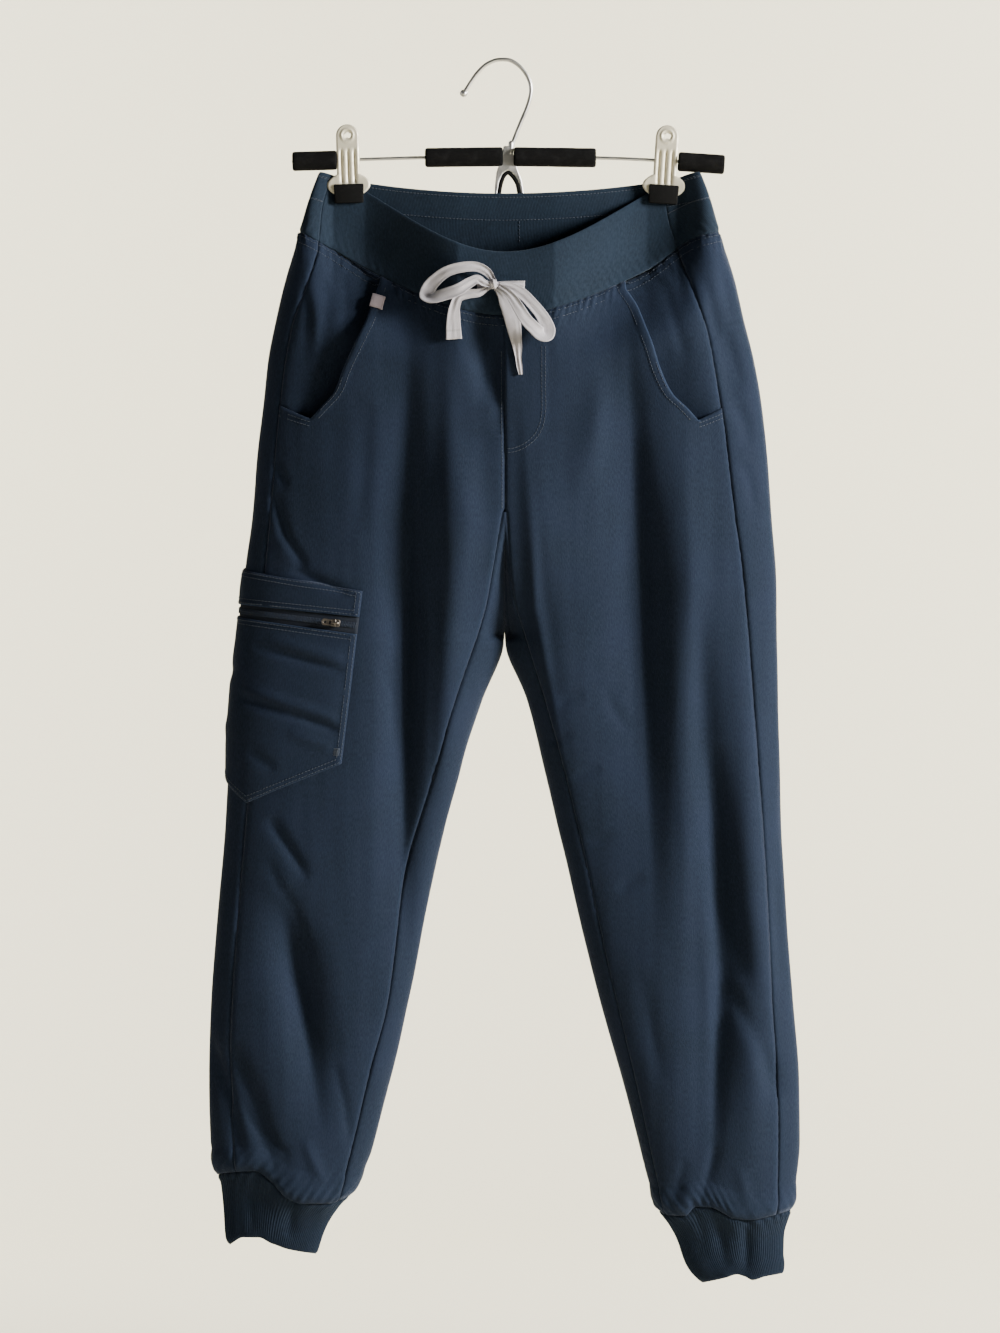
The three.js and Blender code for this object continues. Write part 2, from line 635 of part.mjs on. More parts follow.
// ---------------------------------------------------------------------------------------------
// Cargo pocket on the wearer's right thigh, centred on the side seam
//
// "across" runs from its front edge (-1) over the side seam (0) to its back edge (1).
// ---------------------------------------------------------------------------------------------
const CARGO = {
  halfWidthTop: 90,
  halfWidthFoot: 80,
  topDrop: 451,
  footDrop: 651.6,
  columns: 24,
  top: (across) => 451 - 15 * across,
  zipTop: (across) => 480 - 9 * across,
  zipFoot: (across) => 491.5 - 12 * across,
  foot: (across) => 651.6 - 48 * Math.abs(across) - 13.5 * across,
};

// The turn a given length along the section past another turn.
function turnAlong(half, level, from, length) {
  const step = 0.004 * Math.sign(length);
  let turn = from;
  let left = Math.abs(length);
  let here = sectionPlace(half, level, turn);
  while (left > 0) {
    const next = sectionPlace(half, level, turn + step);
    const moved = Math.hypot(next.x - here.x, next.y - here.y);
    if (moved >= left) return turn + (step * left) / moved;
    left -= moved;
    turn += step;
    here = next;
  }
  return turn;
}

function cargoFrame(across, drop, stand) {
  const half = HALVES.R;
  const down = clamp01((drop - CARGO.topDrop) / (CARGO.footDrop - CARGO.topDrop));
  const width = mix(CARGO.halfWidthTop, CARGO.halfWidthFoot, down);
  const side = turnAtX(half, drop, half.sideSeam(drop));
  const turn = across === 0 ? side : turnAlong(half, drop, side, across * width);
  return liftedFrame(half, drop, turn, stand);
}

// A strip of the pocket between two of its lines, standing "stand" off the leg at its outer
// face and "bulge" more in its middle.
function cargoPiece(rows, from, to, wall, stand, bulge) {
  const place = (i, j) => {
    const across = mix(-1, 1, j / CARGO.columns);
    const down = i / (rows - 1);
    const crown = (1 - across ** 2) * Math.sin(Math.PI * down);
    return cargoFrame(across, mix(from(across), to(across), down), stand + bulge * crown);
  };
  return patchWall(rows, CARGO.columns + 1, wall, place);
}

// ---------------------------------------------------------------------------------------------
// Zip slider and pull, in their own frame: X along the zip to the front, Z out of the cloth
// ---------------------------------------------------------------------------------------------
const SLIDER = {
  across: -0.77, length: 8.4, width: 7, base: 2, axisHeight: 3.3, bridgeHeight: 4.4, beam: 0.8,
  post: 1, bridgeWidth: 1.8,
};
const PULL = { length: 12, width: 6, thick: 1.3, barRadius: 0.7, arm: 1.2, slot: 2.4 };
const TAPE_STAND = 2;

function toSolid(geometry) {
  const bare = geometry.index ? geometry.clone() : geometry;
  bare.deleteAttribute('normal');
  bare.deleteAttribute('uv');
  const merged = mergeVertices(bare, 1e-5);
  return new wasm.Manifold(new wasm.Mesh({
    numProp: 3,
    vertProperties: new Float32Array(merged.attributes.position.array),
    triVerts: new Uint32Array(merged.index.array),
  }));
}
function fromSolid(solid) {
  const mesh = solid.getMesh();
  const geometry = new THREE.BufferGeometry();
  geometry.setAttribute('position', new THREE.Float32BufferAttribute(mesh.vertProperties, 3));
  geometry.setIndex(Array.from(mesh.triVerts));
  return geometry;
}
function joined(...geometries) {
  return fromSolid(geometries.map(toSolid).reduce((sum, next) => sum.add(next)));
}
// A straight-edged outline, or a hole in one, through the given points.
function polygon(points, Outline = THREE.Shape) {
  return new Outline(points.map(([x, y]) => new THREE.Vector2(x, y)));
}
function roundPoints(radius, sides, x = 0, y = 0) {
  return Array.from({ length: sides }, (_, i) => {
    const angle = ((i + 0.5) * 2 * Math.PI) / sides;
    return [x + radius * Math.cos(angle), y + radius * Math.sin(angle)];
  });
}
function roundHole(radius, sides, x, y) {
  return polygon(roundPoints(radius, sides, x, y).reverse(), THREE.Path);
}
function box(width, depth, height, x, y, z) {
  return new THREE.BoxGeometry(width, depth, height).translate(x, y, z);
}

function sliderBody() {
  const { length, width, base, bridgeHeight, beam, post, bridgeWidth } = SLIDER;
  const outline = polygon([
    [-length / 2, -width * 0.28], [-length * 0.2, -width / 2], [length / 2, -width * 0.4],
    [length / 2, width * 0.4], [-length * 0.2, width / 2], [-length / 2, width * 0.28],
  ]);
  const plate = new THREE.ExtrudeGeometry(outline, { depth: base, bevelEnabled: false });
  const postHeight = bridgeHeight - base + 0.4;
  const reach = length / 2 - post / 2 - 0.6;
  const posts = [-1, 1].map((end) => (
    box(post, bridgeWidth, postHeight, end * reach, 0, base - 0.2 + postHeight / 2)));
  const top = box(2 * reach + post, bridgeWidth, beam, 0, 0, bridgeHeight + beam / 2);
  return joined(plate, ...posts, top);
}

// The pull lies along the closed zip; its cross bar turns under the slider's bridge.
function pullTab() {
  const { length, width, thick, barRadius, arm, slot } = PULL;
  const bar = new THREE.CylinderGeometry(barRadius, barRadius, width - 0.6, 10);
  const arms = [-1, 1].map((side) => (
    box(length * 0.45, arm, thick, -length * 0.225, (side * (width - 0.6 - arm)) / 2, 0)));
  const outline = polygon([
    [-length * 0.4, 0.3 - width / 2], [-length * 0.4, width / 2 - 0.3], [-length * 0.9, width / 2],
    [-length, width * 0.3], [-length, -width * 0.3], [-length * 0.9, -width / 2],
  ]);
  outline.holes.push(roundHole(slot / 2, 8, -length * 0.75, 0));
  const tab = new THREE.ExtrudeGeometry(outline, { depth: thick, bevelEnabled: false, curveSegments: 8 });
  return joined(bar, ...arms, tab.translate(0, 0, -thick / 2));
}

// The frame of a place on the zip: along it to the front, up the leg, and out of the cloth.
function zipFrame() {
  const middle = (across) => (CARGO.zipTop(across) + CARGO.zipFoot(across)) / 2;
  const at = (across) => cargoFrame(across, middle(across), TAPE_STAND + SEAM);
  const here = at(SLIDER.across);
  const along = at(SLIDER.across - 0.05).point.sub(at(SLIDER.across + 0.05).point).normalize();
  const up = here.normal.clone().cross(along).normalize();
  const out = along.clone().cross(up).normalize();
  return { origin: here.point, basis: new THREE.Matrix4().makeBasis(along, up, out), up, out };
}

// ---------------------------------------------------------------------------------------------
// Drawcord: flat tape tied in a bow. Each route is a list of places seen from the front: x, the
// drop, how far it stands off the cloth, and the tape's width there.
// ---------------------------------------------------------------------------------------------
const TAPE = { thick: 1.1, sides: 8, stepsPerSpan: 2 };
const TAPE_COLUMNS = ['x', 'drop', 'stand', 'width'];
const CORDS = {
  drawcord_strand_right: table(TAPE_COLUMNS,
    [-16.4, 199.8, 2.2, 4], [-20.5, 199, 1.5, 7], [-24, 198.7, 1.2, 9]),
  drawcord_strand_left: table(TAPE_COLUMNS,
    [-7.6, 198.8, 2.8, 4], [2, 198.2, 2.4, 6], [10, 199.4, 2.2, 8], [17.6, 201, 1.2, 9]),
  drawcord_loop_right: table(TAPE_COLUMNS,
    [-14.2, 195.4, 9.2, 4.5], [-20.6, 188.4, 10.8, 9], [-29.3, 185, 11, 12], [-41, 186.4, 10.6, 13],
    [-53.5, 191.2, 10, 13], [-63, 197.6, 9.6, 12.5], [-66.3, 203.4, 9.4, 12],
    [-61.6, 209.2, 9, 12.5], [-52.2, 210.2, 8.6, 13], [-42.7, 207.6, 8.2, 13],
    [-33.4, 204, 7.8, 11], [-25.6, 200.6, 7.4, 8], [-17, 199.8, 6.8, 4.5]),
  drawcord_loop_left: table(TAPE_COLUMNS,
    [-7.4, 199.8, 10, 4.5], [2.6, 206, 10.8, 11], [13.8, 213.2, 11, 15], [26.2, 222.2, 10.6, 16],
    [36.4, 230.6, 10, 15.5], [42.6, 237.4, 9, 14.5], [43.6, 238.6, 7.4, 14],
    [41.6, 235.4, 6.2, 14], [31.8, 225.6, 5.8, 14.5], [20.2, 215.4, 6, 13.5],
    [7.2, 205.6, 6.4, 9], [-6.6, 198.8, 6.4, 4]),
  drawcord_tail_right: table(TAPE_COLUMNS,
    [-15.7, 203.5, 3.8, 4], [-22.4, 206.6, 4, 8], [-32, 207.6, 3.6, 9], [-39.6, 210.4, 3, 8],
    [-43.6, 217.6, 2.6, 9], [-44.8, 227, 2.4, 12], [-44.6, 237, 2.2, 13.5], [-44.2, 246.4, 2, 14]),
  drawcord_tail_left: table(TAPE_COLUMNS,
    [-10.4, 204.6, 4.4, 4.5], [-5.6, 210.6, 3.6, 11], [-0.4, 216.6, 3, 16], [5, 227, 2.4, 15],
    [9, 240, 2, 11], [12.2, 255, 1.6, 8.5], [13.8, 266, 1.4, 7.5], [14.4, 276.4, 1.3, 6.5]),
};
const KNOT = { x: -12.2, drop: 200, stand: 6.2, wide: 4.4, tall: 4.6, deep: 5.6 };

// A place on the front face seen from the front, moved out of the cloth.
function frontPlace(x, drop, stand) {
  const half = x < 0 ? HALVES.R : HALVES.L;
  const level = levelAt(half, Math.abs(x), drop);
  const turn = turnAtX(half, level, Math.abs(x));
  return liftedFrame(half, level, turn, mouthLift(half, level, turn) + stand).point;
}

// A closed tape along a smooth route; its width starts in the plane of the cloth and is carried
// along without twist.
function flatTape(route) {
  const path = new THREE.CatmullRomCurve3(route.map((p) => frontPlace(p.x, p.drop, p.stand)));
  path.curveType = 'centripetal';
  const spans = (route.length - 1) * TAPE.stepsPerSpan;
  const side = new THREE.Vector3();
  const points = [];
  for (let i = 0; i <= spans; i += 1) {
    const tangent = path.getTangent(i / spans);
    if (i === 0) side.crossVectors(tangent, new THREE.Vector3(0, -1, 0));
    side.addScaledVector(tangent, -side.dot(tangent)).normalize();
    const out = new THREE.Vector3().crossVectors(side, tangent).normalize();
    const at = i / TAPE.stepsPerSpan;
    const first = Math.min(route.length - 2, Math.floor(at));
    const width = mix(route[first].width, route[first + 1].width, at - first);
    const centre = path.getPoint(i / spans);
    for (let k = 0; k < TAPE.sides; k += 1) {
      const angle = ((k + 0.5) * 2 * Math.PI) / TAPE.sides;
      const wide = (Math.abs(Math.cos(angle)) > 0.5 ? 0.5 : 0.4) * Math.sign(Math.cos(angle));
      const thick = (Math.abs(Math.sin(angle)) > 0.5 ? 0.5 : 0.3) * Math.sign(Math.sin(angle));
      const point = centre.clone().addScaledVector(side, wide * width);
      points.push(point.addScaledVector(out, thick * TAPE.thick));
    }
  }
  return geometryFrom(points, loftFaces(spans + 1, TAPE.sides));
}
// The skin of rings one after another, with both ends closed.
function loftFaces(rings, sides) {
  const faces = [];
  for (let i = 0; i < rings - 1; i += 1) {
    for (let k = 0; k < sides; k += 1) {
      const a = i * sides + k;
      const b = i * sides + ((k + 1) % sides);
      faces.push([a, b, b + sides], [a, b + sides, a + sides]);
    }
  }
  const last = (rings - 1) * sides;
  for (let k = 1; k < sides - 1; k += 1) {
    faces.push([0, k + 1, k], [last, last + k, last + k + 1]);
  }
  return faces;
}

// ---------------------------------------------------------------------------------------------
// Label: a small bare square sewn beside the right pocket mouth
// ---------------------------------------------------------------------------------------------
const LABEL = { x: -111.3, drop: 213.4, size: 12, tilt: 15, stand: 2.1, wall: 0.8, columns: 3 };

function squareLabel() {
  const tilt = THREE.MathUtils.degToRad(LABEL.tilt);
  const place = (i, j) => {
    const a = (j / LABEL.columns - 0.5) * LABEL.size;
    const b = (i / LABEL.columns - 0.5) * LABEL.size;
    const x = LABEL.x + a * Math.cos(tilt) - b * Math.sin(tilt);
    const drop = LABEL.drop + a * Math.sin(tilt) + b * Math.cos(tilt);
    const point = frontPlace(x, drop, LABEL.stand);
    return { point, normal: frontPlace(x, drop, LABEL.stand + 1).sub(point).normalize() };
  };
  return patchWall(LABEL.columns + 1, LABEL.columns + 1, LABEL.wall, place);
}

// ---------------------------------------------------------------------------------------------
// Clip hanger
// ---------------------------------------------------------------------------------------------
const HOOK_WIRE = 1.75;
const HOOK = table(['x', 'z'], [-34, -24.4], [-29.6, -17.6], [-24.4, -10.2], [-16.3, -2.4],
  [-7.4, 1.6], [-1, 2.05], [5, 1.4], [14, -4.6], [21.4, -15.4], [23.3, -25], [20.4, -38.3],
  [13.9, -54.1], [8, -69], [6.6, -73.4]);
const HOOK_TIP = { x: -35.9, z: -27.6, radius: 3.4 };
const BAR_WIRE = 1.5;
const BAR = table(['x', 'z'], [-186, -87.6], [-137.7, -86.2], [-70, -84.2], [0, -83.4],
  [80, -84.4], [141.7, -87], [193, -90.4]);
const SLEEVES = [
  { name: 'sleeve_end_right', from: -184.5, to: -149.6 },
  { name: 'sleeve_middle_right', from: -70, to: -7 },
  { name: 'sleeve_middle_left', from: 12.6, to: 80.5 },
  { name: 'sleeve_end_left', from: 154, to: 191.5 },
];
const SLEEVE_RADIUS = 8;
const YOKE = { depth: 6, bore: 1.85 };
const CLIP = {
  plate: 1.2, inside: 4.7, half: 10, top: 31, foot: -31, wingTop: -13, wingHalf: 20.2,
  hole: 3.2, holeHeight: 21.5, barrel: 4.35, barrelBore: 1.85, barrelLength: 17,
};
const BOOT = { half: 13.2, top: -21.6, foot: -38.3, inside: 2.9, outside: 7.8 };

function wire(points, radius, count, sides = 8) {
  const extrudePath = new THREE.CatmullRomCurve3(points, false, 'centripetal');
  return new THREE.ExtrudeGeometry(polygon(roundPoints(radius, sides)), { steps: count, extrudePath });
}
function ring(radius, bore, length, sides) {
  const shape = polygon(roundPoints(radius, sides));
  shape.holes.push(roundHole(bore, 8, 0, 0));
  const geometry = new THREE.ExtrudeGeometry(shape, { depth: length, bevelEnabled: false });
  return geometry.rotateY(Math.PI / 2).translate(-length / 2, 0, 0);
}
const barHeight = columnCurve(BAR, 'x', 'z');

function sleeve({ from, to }) {
  const middle = (from + to) / 2;
  const slope = Math.atan2(barHeight(to) - barHeight(from), to - from);
  const geometry = ring(SLEEVE_RADIUS, BAR_WIRE + 0.45, to - from, 16);
  return geometry.rotateY(-slope).translate(middle, 0, (barHeight(from) + barHeight(to)) / 2);
}

// An outline drawn in X and Z, given a depth about Y.
function upright(shape, from, to) {
  const options = { depth: to - from, bevelEnabled: false, curveSegments: 6 };
  const geometry = new THREE.ExtrudeGeometry(shape, options);
  return geometry.rotateX(Math.PI / 2).translate(0, to, 0);
}

function yoke() {
  const outline = polygon([
    [-1.9, -74], [6.7, -74], [12, -92], [19.2, -121.5], [-12.4, -121.5], [-6.4, -92],
  ]);
  outline.holes.push(polygon([[2.9, -88], [-8.6, -118.2], [15.2, -118.2]], THREE.Path));
  const plate = toSolid(upright(outline, -YOKE.depth / 2, YOKE.depth / 2));
  const bore = new THREE.CylinderGeometry(YOKE.bore, YOKE.bore, 50, 12);
  bore.rotateZ(Math.PI / 2).translate(2, 0, barHeight(2));
  return fromSolid(plate.subtract(toSolid(bore)));
}

function stirrup() {
  const path = [
    [-5.8, -117.6], [-3, -109], [0.2, -101], [3, -97.8], [6, -101], [9.2, -109], [12.2, -117.6],
  ];
  return wire(path.map(([x, z]) => new THREE.Vector3(x, 0, z)), 1.6, 14);
}

function jaw(side) {
  const { half, top, foot, wingTop, wingHalf, plate, inside, hole, holeHeight } = CLIP;
  const outline = new THREE.Shape();
  outline.moveTo(half, wingTop);
  outline.lineTo(half, top - half);
  outline.absarc(0, top - half, half, 0, Math.PI);
  outline.lineTo(-half, wingTop);
  outline.bezierCurveTo(-wingHalf * 1.15, wingTop, -wingHalf * 1.15, foot, -half * 1.1, foot);
  outline.lineTo(half * 1.1, foot);
  outline.bezierCurveTo(wingHalf * 1.15, foot, wingHalf * 1.15, wingTop, half, wingTop);
  outline.holes.push(roundHole(hole, 10, 0, holeHeight));
  const near = side * inside;
  const far = side * (inside + plate);
  return upright(outline, Math.min(near, far), Math.max(near, far));
}

// A rubber boot, folded up both faces of a jaw's tip.
function boot(side) {
  const { half, top, foot, inside, outside } = BOOT;
  const slotIn = CLIP.inside - SEAM;
  const slotOut = CLIP.inside + CLIP.plate + SEAM;
  const slotFoot = CLIP.foot - SEAM;
  const outline = polygon([
    [inside, foot], [outside, foot], [outside, top], [slotOut, top], [slotOut, slotFoot],
    [slotIn, slotFoot], [slotIn, top], [inside, top],
  ]);
  const geometry = new THREE.ExtrudeGeometry(outline, { depth: 2 * half, bevelEnabled: false });
  geometry.rotateX(Math.PI / 2).rotateZ(Math.PI / 2).translate(-half, 0, 0);
  if (side < 0) geometry.rotateZ(Math.PI);
  return geometry;
}

// ---------------------------------------------------------------------------------------------
// Assembly
// ---------------------------------------------------------------------------------------------
const object = new THREE.Group();
function add(name, geometry, colour, roughness = 0.9, metalness = 0) {
  const material = new THREE.MeshStandardMaterial({ color: colour, roughness, metalness });
  const mesh = new THREE.Mesh(geometry, material);
  mesh.name = name;
  object.add(mesh);
  return mesh;
}

for (const [name, half] of [['right', HALVES.R], ['left', HALVES.L]]) {
  add(`front_${name}`, frontPanel(half), COLOURS.cloth);
  add(`back_${name}`, backPanel(half), COLOURS.cloth);
  add(`pocket_bearer_${name}`, pocketBearer(half), COLOURS.cloth);
  add(`cuff_${name}`, cuff(half), COLOURS.cuff);
}
add('waistband_front', waistbandFront(), COLOURS.band);
add('waistband_back', waistbandBack(), COLOURS.band);

const cargoTop = cargoPiece(3, CARGO.top, (a) => CARGO.zipTop(a) - SEAM, POCKET_WALL, 3, 0.6);
const cargoZipTape = cargoPiece(2, CARGO.zipTop, CARGO.zipFoot, 0.8, TAPE_STAND, 0);
const cargoBag = cargoPiece(7, (a) => CARGO.zipFoot(a) + SEAM, CARGO.foot, POCKET_WALL, 3, 2.6);
add('cargo_top', cargoTop, COLOURS.cloth);
add('cargo_zip_tape', cargoZipTape, COLOURS.zip);
add('cargo_bag', cargoBag, COLOURS.cloth);

const zip = zipFrame();
const slider = add('zip_slider', sliderBody(), COLOURS.bronze, 0.35, 1);
slider.position.copy(zip.origin);
slider.quaternion.setFromRotationMatrix(zip.basis);
const pull = add('zip_pull', pullTab(), COLOURS.bronze, 0.35, 1);
pull.position.copy(zip.origin).addScaledVector(zip.out, SLIDER.axisHeight);
pull.quaternion.copy(slider.quaternion);

add('side_label', squareLabel(), COLOURS.label, 0.7);

for (const [name, route] of Object.entries(CORDS)) add(name, flatTape(route), COLOURS.tape);
const knot = add('drawcord_knot', new THREE.SphereGeometry(1, 10, 6), COLOURS.tape);
knot.position.copy(frontPlace(KNOT.x, KNOT.drop, KNOT.stand));
knot.scale.set(KNOT.wide, KNOT.deep, KNOT.tall);

const hookPoints = HOOK.map(({ x, z }) => new THREE.Vector3(x, 0, z));
add('hook_wire', wire(hookPoints, HOOK_WIRE, 26), COLOURS.chrome, 0.15, 1);
const tip = add('hook_tip', new THREE.SphereGeometry(HOOK_TIP.radius, 8, 6), COLOURS.chrome, 0.2, 1);
tip.position.set(HOOK_TIP.x, 0, HOOK_TIP.z);
add('yoke', yoke(), COLOURS.chrome, 0.25, 1);
add('stirrup', stirrup(), COLOURS.rubber, 0.6);
const barPoints = BAR.map(({ x, z }) => new THREE.Vector3(x, 0, z));
add('bar_wire', wire(barPoints, BAR_WIRE, 12), COLOURS.chrome, 0.2, 1);
for (const one of SLEEVES) add(one.name, sleeve(one), COLOURS.foam, 0.95);

for (const clip of CLIPS) {
  const group = new THREE.Group();
  group.position.set(clip.barX, 0, barHeight(clip.barX));
  group.rotation.y = THREE.MathUtils.degToRad(clip.lean);
  object.add(group);
  for (const [face, side] of [['front', -1], ['back', 1]]) {
    group.add(add(`clip_${clip.name}_${face}_jaw`, jaw(side), COLOURS.enamel, 0.35, 0.6));
    group.add(add(`clip_${clip.name}_${face}_boot`, boot(side), COLOURS.rubber, 0.8));
  }
  const barrel = ring(CLIP.barrel, CLIP.barrelBore, CLIP.barrelLength, 12);
  const spring = add(`clip_${clip.name}_spring`, barrel, COLOURS.chrome, 0.3, 1);
  spring.position.copy(group.position);
  spring.rotation.y = -Math.atan(barHeight(clip.barX + 0.5) - barHeight(clip.barX - 0.5));
}

export default object;
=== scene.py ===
"""A pair of scrub joggers with a drawcord waist and one zipped cargo pocket, hung on a clip hanger.

Metres in the scene, +Z up. The front faces -Y and the wearer's right is at -X. The origin is the
underside of the hook's crown. The cut of the garment is worked out in millimetres, where a "drop"
is a distance below the origin, and is turned into metres as each mesh is made.
"""

import math

import bmesh
import bpy
import numpy as np
from bpy.props import FloatProperty, FloatVectorProperty, PointerProperty
from mathutils import Matrix, Vector
from mathutils.bvhtree import BVHTree


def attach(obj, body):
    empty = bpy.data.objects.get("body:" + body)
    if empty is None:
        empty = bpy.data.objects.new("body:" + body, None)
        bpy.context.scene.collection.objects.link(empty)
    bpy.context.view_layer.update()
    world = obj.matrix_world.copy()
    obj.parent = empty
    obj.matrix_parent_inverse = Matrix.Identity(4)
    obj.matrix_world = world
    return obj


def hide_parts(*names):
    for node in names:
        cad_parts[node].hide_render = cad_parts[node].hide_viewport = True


bl_info = {
    "name": "Scrub joggers on a clip hanger",
    "version": (1, 0, 0),
    "blender": (4, 5, 0),
    "location": "3D View > Sidebar > Joggers",
    "description": "Builds the dressed joggers, their drawcord and their hanger over the fixed frame",
    "category": "Add Mesh",
}

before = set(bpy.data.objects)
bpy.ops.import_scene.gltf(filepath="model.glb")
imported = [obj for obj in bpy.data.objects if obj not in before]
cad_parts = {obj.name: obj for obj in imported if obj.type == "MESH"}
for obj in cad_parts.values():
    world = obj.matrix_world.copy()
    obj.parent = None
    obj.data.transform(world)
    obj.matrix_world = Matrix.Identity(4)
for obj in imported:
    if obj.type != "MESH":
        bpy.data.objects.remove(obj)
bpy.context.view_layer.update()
GARMENT = "garment"
MM = 0.001

# Driving sizes of the garment, in millimetres
PANEL_WALL = 1.0
BAND_WALL = 1.7
CUFF_WALL = 1.3
POCKET_WALL = 0.9
CELL = 3.0  # usual spacing of the cloth's mesh
FAR = 99  # farther from a seam than its gathers reach

RIM_DROP = 97
WAIST_DROP = 157
FORK_DROP = 397
BACK_FORK_DROP = 450
CROTCH_DROP = 509
LEG_SHAPE_DROPS = (370, 640)
HEM_START_DROP = 900
POCKET_END_DROP = 310
SAG = {"band": 72, "front": 73, "front_end": 386, "back": 19, "back_end": 300}
TORSO_ROUNDNESS = 2.3
LEG_ROUNDNESS = 2.2


def table(columns, *rows):
    """Rows of numbers as a dict of named columns."""
    return dict(zip(columns, np.array(rows, float).T))


# Level sections of the hung garment: how far it reaches to each side, in the legs how far from
# the middle its inner edge lies, how deep it is before and behind its middle, and that middle.
SECTIONS = table(
    ("drop", "outerR", "innerR", "innerL", "outerL", "front", "back", "middle"),
    (97, 163, 0.3, 0.3, 172, 30, 4, -9.5),
    (118, 171, 0.3, 0.3, 180, 36, 6, -8),
    (157, 182.6, 0.3, 0.3, 191.4, 46, 14, -3.5),
    (192, 192.3, 0.3, 0.3, 202.8, 48, 22, 0),
    (228, 201, 0.3, 0.3, 210.8, 46, 30, 0),
    (263, 208, 0.3, 0.3, 219.6, 44, 37, 0),
    (298, 211.6, 0.3, 0.3, 225.7, 43, 41, 0),
    (351, 217.8, 0.3, 0.3, 231.9, 42, 44, 0),
    (404, 222.2, 0.3, 0.3, 235.4, 41, 45, 0),
    (456, 229.2, 0.3, 0.3, 238.9, 39, 44, 0),
    (509, 233.6, 0.3, 0.3, 239.8, 36, 41, 0),
    (562, 238, 19.8, 19.8, 240.7, 33, 38, 0),
    (615, 242.4, 36.5, 33, 242.4, 31, 35, 0),
    (685, 246.8, 55, 49.7, 244.2, 30, 33, 0),
    (756, 253, 70.8, 66.4, 248.6, 29, 31, 0),
    (826, 258.3, 84, 84, 253.9, 28, 30, 0),
    (896, 260, 100.8, 103.4, 259.2, 27, 28, 0),
    (949, 259.2, 116.6, 117.5, 260, 26, 27, 0),
    (985, 254.8, 135, 126.5, 257, 24, 24, 0),
    (1010, 250, 142, 134.2, 253.9, 23, 23, 0),
)

# The seams' distances from the middle, seen from the front.
SIDE_SEAMS = table(
    ("drop", "R", "L"),
    (97, 152, 140), (126, 160, 143.9), (163, 163.5, 153.6), (190, 173.8, 166), (229, 187, 179),
    (271, 194, 186), (307, 198, 191.4), (344, 201.5, 195.8), (400, 206, 202.4),
    (451, 210.8, 209.4), (615, 223, 222.2), (742, 233.6, 230.2), (820, 239.2, 234),
    (880, 241.6, 238.4), (940, 240.4, 240.6), (985, 236, 240), (1012, 234, 239),
)
INSEAMS = table(
    ("drop", "R", "L"),
    (397, 1.5, 1.5), (449, 10.5, 5), (476, 15.4, 9), (505, 24, 17.6), (544, 38.3, 29.6),
    (580, 50.6, 40.7), (620, 60.8, 51.5), (710, 84.9, 72.4), (787, 96, 89), (834, 103.6, 100.1),
    (876, 114.8, 110), (924, 127.2, 121), (966, 140.4, 130.3), (985, 146, 134.8), (1014, 150, 142),
)
POCKET_MOUTHS = {
    "R": table(("x", "drop"), (108.7, 192), (121, 229), (131.6, 252), (140.4, 271), (148.3, 291),
               (161.5, 306), (172, 317)),
    "L": table(("x", "drop"), (106, 200), (117.5, 219), (128, 246), (136, 271), (146.5, 293),
               (159.7, 306), (170, 317)),
}

# The seam between leg and cuff, and the cuff's hem, from the outer fold (0) to the inner (1).
CUFF_SEAM_LEVELS = {"R": 985, "L": 1010}
CUFF_SEAMS = {
    "R": table(("across", "drop"), (0, 979), (0.1, 976.4), (0.3, 974.6), (0.42, 984), (0.53, 998),
               (0.66, 1003.6), (0.84, 1003.6), (1, 998)),
    "L": table(("across", "drop"), (0, 1010), (0.13, 1013.3), (0.32, 1017.7), (0.45, 1016),
               (0.52, 1011.5), (0.62, 1006.3), (0.72, 1006), (0.8, 1014.2), (0.93, 1014.2),
               (1, 1011)),
}
CUFF_HEMS = {
    "R": table(("across", "drop"), (0, 1040.6), (0.18, 1033.6), (0.36, 1033.6), (0.5, 1039),
               (0.67, 1044), (1, 1048.5)),
    "L": table(("across", "drop"), (0, 1065.5), (0.25, 1068), (0.4, 1071), (0.48, 1068),
               (0.56, 1066), (0.7, 1069), (1, 1074)),
}
CUFF_OUTLINES = {
    "R": table(("down", "outer", "inner", "depth"), (0, 253, 136, 22), (0.12, 249.6, 143, 19),
               (0.5, 247, 156, 14), (0.9, 245, 163.5, 13), (1, 242.5, 165.5, 12.5)),
    "L": table(("down", "outer", "inner", "depth"), (0, 252.5, 135, 21), (0.15, 249.5, 143, 18),
               (0.4, 246, 152, 14), (0.7, 245.5, 158.5, 13), (0.85, 246.5, 164, 13),
               (1, 246, 173, 12.5)),
}

# Folds and creases: a path through three places on one face of the cloth, its half width, and
# how far it stands out (a trough is negative). The wearer's right is at negative x.
FOLD_COLUMNS = ("x0", "drop0", "x1", "drop1", "x2", "drop2", "width", "height")
FRONT_FOLDS = (
    (-204, 380, -193, 417, -174, 446, 4.6, -4),
    (-187, 446, -163, 457, -136, 467, 4.2, -3.4),
    (-207, 664, -190, 690, -172, 718, 5, -3.5),
    (-195, 722, -172, 815, -146, 940, 17, -8),
    (-243, 862, -219, 918, -196, 990, 10, -5),
    (-42, 320, -32, 406, -38, 500, 16, 5),
    (-127, 141, -116, 160, -104, 180, 8, -3),
    (87, 270, 78, 330, 68, 390, 15, 5),
    (115, 270, 131, 500, 142, 720, 19, -4),
    (169, 460, 171, 560, 170, 665, 12, -5),
    (184, 600, 197, 740, 229, 868, 10, -6),
    (198, 812, 212, 840, 224, 868, 8, -4),
    (223, 862, 232, 885, 240, 912, 8, -4),
    (36, 606, 50, 594, 66, 586, 5, -1),
    (73, 694, 86, 682, 102, 672, 5, -1),
    (112, 132, 122, 158, 132, 184, 8, -3),
    (181, 210, 196, 262, 206, 325, 11, -4),
)
